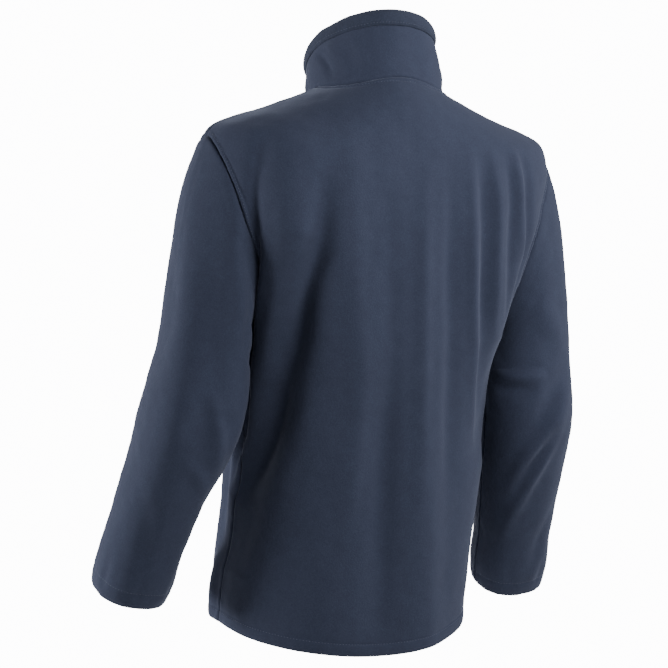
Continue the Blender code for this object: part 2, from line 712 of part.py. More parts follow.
def make_slider(material):
    """The slider: a plate with two rails beside the chain, and a bridge that holds the pull."""
    place, forward, upward, depth = zip_frame(SLIDER_BELOW_TOP)
    plate_back = place - forward * (depth - CHAIN_THICKNESS - 2 * SEAM_GAP)
    widening = SLIDER_TOP_HALF_WIDTH - SLIDER_FOOT_HALF_WIDTH
    rings = []
    for part in np.linspace(0, 1, SLIDER_SECTIONS):
        half = SLIDER_FOOT_HALF_WIDTH + widening * math.sin(part * math.pi / 2)
        inside = half - SLIDER_RAIL_WIDTH
        centre = plate_back + upward * (part - 0.5) * SLIDER_LENGTH
        rail_end = -SLIDER_RAIL_DEPTH
        right = ((half, SLIDER_PLATE), (half, rail_end), (inside, rail_end), (inside, 0))
        section = right + tuple((-x, out) for x, out in right[::-1])
        rings.append([centre + np.array([x, 0, 0]) + forward * out for x, out in section])
    slider = loft("zip_slider", rings, material, smooth=False)

    across = np.array([[-BRIDGE_HALF_WIDTH, 0, 0], [BRIDGE_HALF_WIDTH, 0, 0]])
    outer, inner = [], []
    for turn in np.linspace(0, math.pi, BRIDGE_STEPS):
        along, rise = rounded_arch(turn)
        for grid, shrink in ((outer, 0), (inner, BRIDGE_THICKNESS)):
            half = BRIDGE_HALF_LENGTH - shrink
            height = BRIDGE_HEIGHT - shrink + BRIDGE_SUNK
            out = SLIDER_PLATE - BRIDGE_SUNK + rise * height
            grid.append(plate_back + upward * along * half + forward * out + across)
    bridge = wall("zip_bridge", np.array(outer), np.array(inner), material)
    bridge.hide_render = True
    bridge.display_type = "WIRE"
    join = slider.modifiers.new("bridge", "BOOLEAN")
    join.operation = "UNION"
    join.object = bridge
    return slider


def rounded_arch(turn):
    """A squarish arch: how far along its half length, and what part of its height."""
    along = math.copysign(abs(math.cos(turn)) ** BRIDGE_SQUARENESS, math.cos(turn))
    return along, math.sin(turn) ** BRIDGE_SQUARENESS


def pull_axis():
    """The middle of the pull's bar, half-way up inside the bridge."""
    place, forward, _, depth = zip_frame(SLIDER_BELOW_TOP)
    plate_front = depth - CHAIN_THICKNESS - 2 * SEAM_GAP - SLIDER_PLATE
    return place - forward * (plate_front - (BRIDGE_HEIGHT - BRIDGE_THICKNESS) / 2)


def make_pull(material):
    """The pull tab, hanging straight down. Its origin is the axis of the bar that it turns on."""
    half = [dict(zip(PULL_COLUMNS, row)) for row in PULL_ROWS]
    loops = []
    for across, down in (("outer_x", "outer_down"), ("eye_x", "eye_down")):
        right = [(point[across], point[down]) for point in half]
        left = [(-x, z) for x, z in right[-2:0:-1]]
        loops.append(right + left)
    front = np.array([[(x, -PULL_THICKNESS / 2, -down) for x, down in loop] for loop in loops])
    back = front + np.array([0, PULL_THICKNESS, 0])
    pull = wall("zip_pull", front, back, material, wraps=True)
    pull.location = pull_axis()
    return pull


# ---- jacket

def main():
    for old in list(bpy.data.objects):
        bpy.data.objects.remove(old)
    fleece = principled("fleece", FLEECE_COLOR, FLEECE_ROUGHNESS)
    band_fleece = principled("band fleece", BAND_FLEECE_COLOR, FLEECE_ROUGHNESS)
    tape_cloth = principled("zip tape", TAPE_COLOR, TAPE_ROUGHNESS)
    zip_plastic = principled("zip plastic", PLASTIC_COLOR, PLASTIC_ROUGHNESS)
    zip_metal = principled("zip metal", METAL_COLOR, METAL_ROUGHNESS, metallic=1.0)
    make_torso(fleece)
    make_sleeve("sleeve_left", 1, fleece)
    make_sleeve("sleeve_right", -1, fleece)
    make_collar(fleece, band_fleece)
    make_tape("zip_tape_left", 1, tape_cloth)
    make_tape("zip_tape_right", -1, tape_cloth)
    make_chain(zip_plastic)
    make_box(zip_plastic)
    make_slider(zip_metal)
    make_pull(zip_metal)


main()
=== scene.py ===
import math

import bpy
import numpy as np
from mathutils import Matrix, Vector, noise
from mathutils.bvhtree import BVHTree


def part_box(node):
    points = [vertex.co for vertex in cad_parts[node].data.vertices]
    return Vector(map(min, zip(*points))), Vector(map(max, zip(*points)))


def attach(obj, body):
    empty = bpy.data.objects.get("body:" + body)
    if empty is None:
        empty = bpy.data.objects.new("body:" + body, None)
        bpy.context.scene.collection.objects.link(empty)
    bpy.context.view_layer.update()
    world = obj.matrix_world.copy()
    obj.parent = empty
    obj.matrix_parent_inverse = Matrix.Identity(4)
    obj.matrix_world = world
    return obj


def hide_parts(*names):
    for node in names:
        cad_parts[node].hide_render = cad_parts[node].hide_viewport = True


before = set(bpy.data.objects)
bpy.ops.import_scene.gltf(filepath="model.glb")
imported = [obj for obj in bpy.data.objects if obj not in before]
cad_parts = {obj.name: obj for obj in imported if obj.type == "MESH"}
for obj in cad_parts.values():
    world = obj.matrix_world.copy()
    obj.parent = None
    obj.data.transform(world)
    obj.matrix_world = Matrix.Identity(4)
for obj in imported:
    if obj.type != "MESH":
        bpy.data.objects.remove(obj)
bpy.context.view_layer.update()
scene = bpy.context.scene
print("jacket: frame loaded")

# The camera stands behind the wearer and to their left, rolled a little.
cameraValues = {
    "place": (1.0291, 1.9380, -0.0296),
    "forward": (-0.46549, -0.87659, -0.12207),
    "rollDegrees": 4.574,
    "lens": 96.44,
    "shift": -0.0397,
}


def makeCamera(values):
    forward = Vector(values["forward"]).normalized()
    level = forward.cross(Vector((0, 0, 1))).normalized()
    upright = level.cross(forward)
    roll = math.radians(values["rollDegrees"])
    right = level * math.cos(roll) + upright * math.sin(roll)
    up = upright * math.cos(roll) - level * math.sin(roll)
    turned = Matrix((right, up, -forward)).transposed().to_4x4()
    data = bpy.data.cameras.new("camera")
    data.lens = values["lens"]
    data.sensor_width = 36
    data.shift_x = values["shift"]
    data.clip_start = 0.05
    data.clip_end = 100
    camera = bpy.data.objects.new("camera", data)
    camera.matrix_world = Matrix.Translation(values["place"]) @ turned
    scene.collection.objects.link(camera)
    scene.camera = camera


makeCamera(cameraValues)


def unit(vectors):
    return vectors / np.linalg.norm(vectors, axis=-1, keepdims=True)


def hermite(start, startPull, end, endPull, part):
    square = 3 * (end - start) - 2 * startPull - endPull
    cube = 2 * (start - end) + startPull + endPull
    return start + part * startPull + part**2 * square + part**3 * cube


# A table that is read between its rows, along a smooth curve through them.
def readTable(columns, rows):
    rows = np.array(rows, float)
    keys = rows[:, 0]
    steps = np.diff(keys)[:, None]
    slopes = np.diff(rows, axis=0) / steps
    inner = (slopes[:-1] * steps[1:] + slopes[1:] * steps[:-1]) / (steps[:-1] + steps[1:])
    slopes = np.vstack([slopes[:1], inner, slopes[-1:]])

    def at(key):
        key = np.clip(np.asarray(key, float), keys[0], keys[-1])
        row = np.clip(np.searchsorted(keys, key, side="right") - 1, 0, len(keys) - 2)
        step = (keys[row + 1] - keys[row])[..., None]
        part = (key - keys[row])[..., None] / step
        values = hermite(rows[row], slopes[row] * step, rows[row + 1], slopes[row + 1] * step, part)
        return {column: values[..., index] for index, column in enumerate(columns)}

    return at


def lengthsAlong(line):
    return np.concatenate([[0], np.cumsum(np.linalg.norm(np.diff(line, axis=0), axis=1))])


def smoothPath(points, count):
    points = np.array(points, float)
    travelled = lengthsAlong(points)
    if len(points) < 3:
        part = np.linspace(0, 1, count)[:, None]
        return points[0] * (1 - part) + points[-1] * part
    columns = range(points.shape[1])
    at = readTable(["key", *columns], np.column_stack([travelled, points]))
    found = at(np.linspace(0, travelled[-1], count))
    return np.stack([found[column] for column in columns], axis=-1)


def outwardNormal(surface, around, along):
    step = 0.001
    aroundStep = surface(around + step, along) - surface(around - step, along)
    alongStep = surface(around, along + step) - surface(around, along - step)
    return unit(np.cross(alongStep, aroundStep))


# Reach of a ring that is between an ellipse and a rectangle. The ease keeps it smooth at its four sides.
def squarishRadius(cosine, sine, halfWidth, halfDepth, power, ease=0.006):
    across = (cosine**2 + ease) ** (power / 2) / halfWidth**power
    deep = (sine**2 + ease) ** (power / 2) / halfDepth**power
    return (across + deep) ** (-1 / power)


# Height of all the creases. Each follows its path, fades out at both ends, and may be steeper on one side.
# The girth's radius turns a path's degrees into metres.
def creaseHeight(creases, angle, along, girthRadius, pathSteps=18, fade=0.8):
    angle, along = np.broadcast_arrays(angle, along)
    total = np.zeros(angle.shape)
    for _, lowSide, highSide, height, path in creases:
        line = smoothPath(np.array(path) * (math.radians(girthRadius), 1), pathSteps)
        middle = line[:, 0].mean() / girthRadius
        across = (middle + (angle - middle + math.pi) % (2 * math.pi) - math.pi) * girthRadius
        ways = np.diff(line, axis=0)
        lengths = np.linalg.norm(ways, axis=1)
        travelled = np.concatenate([[0], np.cumsum(lengths)]) / lengths.sum()
        nearest = np.full(angle.shape, np.inf)
        part, side = np.zeros(angle.shape), np.zeros(angle.shape)
        for index, length in enumerate(lengths):
            way = ways[index] / length
            pastAcross, pastAlong = across - line[index, 0], along - line[index, 1]
            run = np.clip(pastAcross * way[0] + pastAlong * way[1], 0, length)
            away = (pastAcross - run * way[0]) ** 2 + (pastAlong - run * way[1]) ** 2
            closer = away < nearest
            nearest = np.where(closer, away, nearest)
            here = travelled[index] + run / length * (travelled[index + 1] - travelled[index])
            part = np.where(closer, here, part)
            side = np.where(closer, pastAcross * way[1] - pastAlong * way[0], side)
        width = np.where(side < 0, lowSide, highSide) / 1000
        swell = np.sin(math.pi * np.clip(part, 0, 1)) ** fade * np.exp(-nearest / width**2)
        total = total + height / 1000 * swell
    return total


# Slight unevenness, as in cloth that nobody has pressed. Each row is the size and the height of its swells.
def unevenness(points, rows):
    flat = points.reshape(-1, 3)
    total = np.zeros(len(flat))
    for size, height in rows:
        total += np.array([noise.noise(Vector(point)) for point in flat / size]) * height
    return total.reshape(points.shape[:-1])


# Low relief beside a seam. Its profile gives heights by the distance from the seam's line, both in mm.
# The pucker is the height in mm of the small gathers that the stitches draw in.
def besideSeam(points, line, profile, pucker):
    puckerSize, puckerMiddle, puckerReach, margin = 0.0085, 3, 6, 0.008
    distances, heights = np.array(seamProfiles[profile], float).T
    reach = distances[-1] / 1000 + margin
    flat = points.reshape(-1, 3)
    near = ((flat > line.min(axis=0) - reach) & (flat < line.max(axis=0) + reach)).all(axis=1)
    some = flat[near]
    nearest = np.full(len(some), np.inf)
    for start, end in zip(line[:-1], line[1:]):
        way = end - start
        part = np.clip((some - start) @ way / (way @ way), 0, 1)
        nearest = np.minimum(nearest, ((some - start - part[:, None] * way) ** 2).sum(axis=1))
    away = np.sqrt(nearest) * 1000
    raised = np.interp(away, distances, heights) / 1000
    gathers = unevenness(some, ((puckerSize, pucker / 1000),))
    raised += gathers * np.exp(-((away - puckerMiddle) / puckerReach) ** 2)
    relief = np.zeros(len(flat))
    relief[near] = raised
    return relief.reshape(points.shape[:-1])


# Places of grid lines along a length: close together where a seam's relief needs it.
def gridLines(length, fromStart, fromEnd, between):
    first, last = np.array(fromStart) / 1000, length - np.array(fromEnd)[::-1] / 1000
    return np.concatenate([first, np.linspace(first[-1], last[0], between + 2)[1:-1], last])


# A way to lay lines on any length, with the same close ones at both of its ends
def linesFor(edge, between):
    return lambda length: gridLines(length, edge, edge, between)


# Angles on a curve where the lines fall, measured along the curve
def anglesAt(curve, start, end, lines):
    angles = np.linspace(start, end, 241)
    travelled = lengthsAlong(curve(angles))
    return np.interp(lines(travelled[-1]), travelled, angles)


# Each column of a table of points, read at the given distances along it
def pointsAt(distances, travelled, points):
    return np.stack([np.interp(distances, travelled, column) for column in points.T], axis=-1)


# Distances in mm of the grid lines beside a sewn edge, a plain edge, a turned hem and a turned cuff
seamLines = (0, 0.8, 1.6, 2.4, 3.4, 4.6, 5.6, 6.3, 7.1, 8.6, 11)
edgeLines = (0, 0.9, 2.0, 4.0, 7.0)
hemLines = (0, 0.9, 2.0, 4.0, 8.0, 12.0, 14.0, 15.2, 16.4, 18.5, 22)
cuffLines = (0, 0.9, 2.0, 4.0, 8.0, 12.0, 16.0, 19.0, 20.2, 21.4, 23.5, 27)
seamProfiles = {
    "welt": (
        (0, -1.3), (0.8, -0.3), (1.6, 0.8), (3.4, 1.5), (4.6, 1.3), (5.6, 0.3), (6.3, -0.6), (7.1, -0.3),
        (8.6, 0.1), (12, 0)),
    "plain": ((0, -1.3), (0.8, -0.6), (1.6, 0.0), (3.4, 0.4), (8, 0)),
    "neck": ((0, -1.3), (0.8, -0.3), (2.4, 0.8), (4.6, 0.8), (5.6, 0.2), (6.3, -0.6), (7.1, -0.2), (9, 0)),
    "hem": ((0, -0.6), (0.9, 0.2), (4, 0.7), (12, 0.6), (14, 0.2), (15.2, -0.7), (16.4, -0.1), (20, 0)),
    "zipEdge": ((0, -0.6), (0.8, 0.2), (2.4, 0.7), (4.6, 0.5), (5.6, 0.1), (6.3, -0.6), (7.1, -0.1), (11, 0)),
    "cuff": ((0, -0.6), (0.9, 0.2), (4, 0.7), (16, 0.6), (19, 0.2), (20.2, -0.8), (21.4, -0.1), (25, 0)),
    "sleeveHead": ((0, 0), (0.8, 0.2), (2.4, 0.9), (4.6, 1.2), (8.6, 0.9), (16, 0)),
    "underarm": ((0, -1.3), (0.8, -0.3), (1.6, 0.7), (3.4, 1.0), (4.6, 0.6), (8.6, 0)),
    "collarFoot": ((0, 0), (0.8, 0.3), (2.4, 0.6), (5, 0)),
    "bandStitches": ((0, -0.7), (0.8, -0.3), (2.0, 0.1), (5, 0)),
}
deepestRelief = 0.0016    # less than the cloth's thickness, so that a stitched line can't go through it


def fromHex(code):
    parts = [int(code[index : index + 2], 16) / 255 for index in (1, 3, 5)]
    linear = [part / 12.92 if part <= 0.04045 else ((part + 0.055) / 1.055) ** 2.4 for part in parts]
    return (*linear, 1.0)


def startMaterial(name):
    material = bpy.data.materials.new(name)
    material.use_nodes = True
    return material, material.node_tree, material.node_tree.nodes["Principled BSDF"]


# Adds a node. settings are its properties, and inputs its sockets' numbers or the sockets they come from.
def addNode(tree, kind, settings, inputs):
    node = tree.nodes.new(kind)
    for name, value in settings.items():
        setattr(node, name, value)
    for socket, value in inputs.items():
        if isinstance(value, bpy.types.NodeSocket):
            tree.links.new(value, node.inputs[socket])
        else:
            node.inputs[socket].default_value = value
    return node


def setStops(ramp, stops):
    elements = ramp.color_ramp.elements
    while len(elements) < len(stops):
        elements.new(0.5)
    for element, (position, code) in zip(elements, stops):
        element.position = position
        element.color = fromHex(code)
    return ramp.outputs["Color"]


fleeceLook = {
    "dark": "#2f3344",
    "middle": "#323748",
    "light": "#363c4e",
    "napMm": 1.5,        # clumps of brushed fibre, drawn twice as coarse as real ones, which wouldn't show
    "mottleMm": 14,      # soft clouding, where the nap lies in another direction
    "pillMm": 2.6,
    "bumpMm": 0.30,
    "sheen": 0.27,
    "roughness": 0.95,
}


# Polyester fleece with a brushed face: no gloss, a finely clouded nap and a pale bloom where it is
# seen edge-on.
def makeFleece(name, look):
    material, tree, shader = startMaterial(name)
    place = addNode(tree, "ShaderNodeTexCoord", {}, {}).outputs["Object"]
    nap = addNode(tree, "ShaderNodeTexNoise", {}, {
        "Vector": place, "Scale": 1000 / look["napMm"], "Detail": 3.0, "Roughness": 0.65})
    mottle = addNode(tree, "ShaderNodeTexNoise", {}, {
        "Vector": place, "Scale": 1000 / look["mottleMm"], "Detail": 5.0, "Roughness": 0.6})
    pill = addNode(tree, "ShaderNodeTexVoronoi", {"feature": "SMOOTH_F1"}, {
        "Vector": place, "Scale": 1000 / look["pillMm"], "Smoothness": 0.6})
    fine = addNode(tree, "ShaderNodeMath", {"operation": "MULTIPLY"}, {0: nap.outputs["Fac"], 1: 0.75})
    tone = addNode(tree, "ShaderNodeMath", {"operation": "MULTIPLY_ADD"}, {
        0: mottle.outputs["Fac"], 1: 0.25, 2: fine.outputs[0]})
    ramp = addNode(tree, "ShaderNodeValToRGB", {}, {"Fac": tone.outputs[0]})
    color = setStops(ramp, ((0.34, look["dark"]), (0.50, look["middle"]), (0.68, look["light"])))
    tree.links.new(color, shader.inputs["Base Color"])
    height = addNode(tree, "ShaderNodeMath", {"operation": "MULTIPLY_ADD"}, {
        0: pill.outputs["Distance"], 1: -0.5, 2: nap.outputs["Fac"]})
    bump = addNode(tree, "ShaderNodeBump", {}, {
        "Height": height.outputs[0], "Distance": look["bumpMm"] / 1000, "Strength": 0.6})
    tree.links.new(bump.outputs["Normal"], shader.inputs["Normal"])
    shader.inputs["Roughness"].default_value = look["roughness"]
    shader.inputs["Specular IOR Level"].default_value = 0.15
    shader.inputs["Sheen Weight"].default_value = look["sheen"]
    shader.inputs["Sheen Roughness"].default_value = 0.4
    shader.inputs["Sheen Tint"].default_value = fromHex("#a9b1c8")
    return material


# Woven polyester zip tape: soft ribs along it and a slight sateen shine. Its ribs and threads are drawn
# several times as coarse as real ones, which wouldn't show.
def makeTapeCloth(ribMm=6.91, threadMm=3.77):
    waveMm = 100 * math.pi    # how far a wave's bands are apart at a scale of 1
    material, tree, shader = startMaterial("woven polyester tape")
    place = addNode(tree, "ShaderNodeUVMap", {"uv_map": "cloth"}, {}).outputs["UV"]
    ribs = addNode(tree, "ShaderNodeTexWave", {"bands_direction": "X"}, {
        "Vector": place, "Scale": waveMm / ribMm, "Distortion": 0.2, "Detail": 1.0})
    threads = addNode(tree, "ShaderNodeTexWave", {"bands_direction": "Y"}, {
        "Vector": place, "Scale": waveMm / threadMm, "Distortion": 0.3, "Detail": 1.0})
    weave = addNode(tree, "ShaderNodeMath", {"operation": "MULTIPLY"}, {
        0: ribs.outputs["Fac"], 1: threads.outputs["Fac"]})
    ramp = addNode(tree, "ShaderNodeValToRGB", {}, {"Fac": weave.outputs[0]})
    tree.links.new(setStops(ramp, ((0.0, "#10131b"), (1.0, "#262b3a"))), shader.inputs["Base Color"])
    bump = addNode(tree, "ShaderNodeBump", {}, {
        "Height": weave.outputs[0], "Distance": 0.0002, "Strength": 0.7})
    tree.links.new(bump.outputs["Normal"], shader.inputs["Normal"])
    shader.inputs["Roughness"].default_value = 0.75
    shader.inputs["Sheen Weight"].default_value = 0.1
    return material


# Spun polyester sewing thread, a shade lighter than the fleece: twisted plies with a slight shine.
def makeThread(pliesPerMm=1.4):
    material, tree, shader = startMaterial("spun polyester thread")
    place = addNode(tree, "ShaderNodeTexCoord", {}, {}).outputs["Object"]
    plies = addNode(tree, "ShaderNodeTexNoise", {}, {
        "Vector": place, "Scale": 1000 * pliesPerMm, "Detail": 2.0})
    ramp = addNode(tree, "ShaderNodeValToRGB", {}, {"Fac": plies.outputs["Fac"]})
    tree.links.new(setStops(ramp, ((0.3, "#2e3343"), (0.7, "#485066"))), shader.inputs["Base Color"])
    shader.inputs["Roughness"].default_value = 0.6
    return material


# Moulded acetal zip teeth: satin, with the faint unevenness of the mould's spark finish.
def makeZipPlastic(grainMm=0.4):
    material, tree, shader = startMaterial("moulded acetal")
    place = addNode(tree, "ShaderNodeTexCoord", {}, {}).outputs["Object"]
    grain = addNode(tree, "ShaderNodeTexNoise", {}, {
        "Vector": place, "Scale": 1000 / grainMm, "Detail": 3.0})
    ramp = addNode(tree, "ShaderNodeValToRGB", {}, {"Fac": grain.outputs["Fac"]})
    tree.links.new(setStops(ramp, ((0.3, "#161923"), (0.7, "#202432"))), shader.inputs["Base Color"])
    rough = addNode(tree, "ShaderNodeMapRange", {}, {
        "Value": grain.outputs["Fac"], "From Min": 0.3, "From Max": 0.7, "To Min": 0.34, "To Max": 0.5})
    tree.links.new(rough.outputs[0], shader.inputs["Roughness"])
    shader.inputs["IOR"].default_value = 1.48
    return material


# Die-cast zinc under a baked dark enamel: satin, rubbed paler along its edges.
def makeZipMetal(swirlsPerMm=0.6):
    material, tree, shader = startMaterial("enamelled die-cast zinc")
    place = addNode(tree, "ShaderNodeTexCoord", {}, {}).outputs["Object"]
    flow = addNode(tree, "ShaderNodeTexNoise", {}, {
        "Vector": place, "Scale": 1000 * swirlsPerMm, "Detail": 4.0})
    edge = addNode(tree, "ShaderNodeNewGeometry", {}, {}).outputs["Pointiness"]
    worn = addNode(tree, "ShaderNodeMapRange", {}, {
        "Value": edge, "From Min": 0.52, "From Max": 0.62, "To Min": 0.0, "To Max": 0.6})
    rubbed = addNode(tree, "ShaderNodeMath", {"operation": "MULTIPLY"}, {
        0: worn.outputs[0], 1: flow.outputs["Fac"]})
    ramp = addNode(tree, "ShaderNodeValToRGB", {}, {"Fac": rubbed.outputs[0]})
    color = setStops(ramp, ((0.0, "#2a2d36"), (0.25, "#3a3e49"), (0.5, "#6d717c")))
    tree.links.new(color, shader.inputs["Base Color"])
    rough = addNode(tree, "ShaderNodeMapRange", {}, {
        "Value": flow.outputs["Fac"], "From Min": 0.3, "From Max": 0.7, "To Min": 0.3, "To Max": 0.42})
    tree.links.new(rough.outputs[0], shader.inputs["Roughness"])
    shader.inputs["Metallic"].default_value = 0.85
    return material


fleece = makeFleece("brushed polyester fleece", fleeceLook)
bandTones = {"dark": "#2a2e3c", "middle": "#2f3443", "light": "#353b4c"}    # a shade darker than the rest
bandFleece = makeFleece("fleece binding", {**fleeceLook, **bandTones})
tapeCloth = makeTapeCloth()
thread = makeThread()
zipPlastic = makeZipPlastic()
zipMetal = makeZipMetal()
print("jacket: materials made")


def linkPiece(name, points, faces, material):
    mesh = bpy.data.meshes.new(name)
    mesh.from_pydata(points.tolist(), [], faces)
    mesh.materials.append(material)
    piece = bpy.data.objects.new(name, mesh)
    scene.collection.objects.link(piece)
    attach(piece, "jacket")
    return piece


# Cloth with a thickness, from a grid of points on its face. Rows run down and columns anticlockwise.
# Free edges are rounded over, and the others end flat against their neighbour: free says which, for the
# first row, the last column, the last row and the first column.
def makeCloth(name, face, inwards, wall, material, free, wraps=False):
    lipShare = 0.42    # how far a rounded edge comes out, as a share of the wall
    rows, columns = face.shape[:2]
    count = rows * columns
    back = face + inwards * wall
    middle = (face + inwards * (wall / 2)).reshape(-1, 3)
    points = [face.reshape(-1, 3), back.reshape(-1, 3)]
    grid = np.arange(count).reshape(rows, columns)
    left = np.arange(columns if wraps else columns - 1)
    right = (left + 1) % columns
    corners = (grid[:-1][:, left], grid[1:][:, left], grid[1:][:, right], grid[:-1][:, right])
    faces = [np.stack(corners, axis=-1).reshape(-1, 4)]
    faces.append(faces[0][:, ::-1] + count)
    if wraps:
        borders = [(grid[0], grid[1], free[0]), (grid[-1][::-1], grid[-2][::-1], free[2])]
    else:
        border = np.concatenate([grid[0, :-1], grid[:-1, -1], grid[-1, :0:-1], grid[:0:-1, 0]])
        inside = np.concatenate([grid[1, :-1], grid[:-1, -2], grid[-2, :0:-1], grid[:0:-1, 1]])
        turns = np.cumsum([0, columns - 1, rows - 1, columns - 1])
        inside[turns] = grid[1, 1], grid[1, -2], grid[-2, -2], grid[-2, 1]
        rounded = np.repeat(np.array(free, float), (columns - 1, rows - 1, columns - 1, rows - 1))
        borders = [(border, inside, rounded)]
    made = 2 * count
    for edge, beside, rounded in borders:
        past = unit(middle[edge] - middle[beside]) * wall * lipShare
        points.append(middle[edge] + past * np.broadcast_to(rounded, len(edge))[:, None])
        lip = np.arange(len(edge)) + made
        made += len(edge)
        after, lipAfter = np.roll(edge, -1), np.roll(lip, -1)
        faces.append(np.stack([edge, after, lipAfter, lip], axis=-1))
        faces.append(np.stack([lip, lipAfter, after + count, edge + count], axis=-1))
    points, faces = np.concatenate(points), np.concatenate(faces)
    piece = linkPiece(name, points, faces.tolist(), material)
    piece.data.shade_smooth()

    # The map gives each point its distance across and down the cloth, in metres.
    across = np.linalg.norm(np.diff(face, axis=1), axis=-1).mean(axis=0)
    down = np.linalg.norm(np.diff(face, axis=0), axis=-1).mean(axis=1)
    u = np.concatenate([[0], np.cumsum(across), [across.sum() + across[-1]]])
    v = -np.concatenate([[0], np.cumsum(down)])
    place = np.zeros((len(points), 2))
    place[: 2 * count] = np.tile(np.stack(np.meshgrid(u[:columns], v), axis=-1).reshape(-1, 2), (2, 1))
    place[2 * count :, 0] = np.arange(len(points) - 2 * count) * across.mean()
    corners = place[faces.reshape(-1)]
    if wraps:
        column = np.where(faces < 2 * count, faces % columns, 1)
        crossing = (column == columns - 1).any(axis=1)
        corners[((column == 0) & crossing[:, None]).reshape(-1), 0] = u[columns]
    layer = piece.data.uv_layers.new(name="cloth")
    layer.data.foreach_set("uv", corners.astype(np.float32).ravel())
    return piece


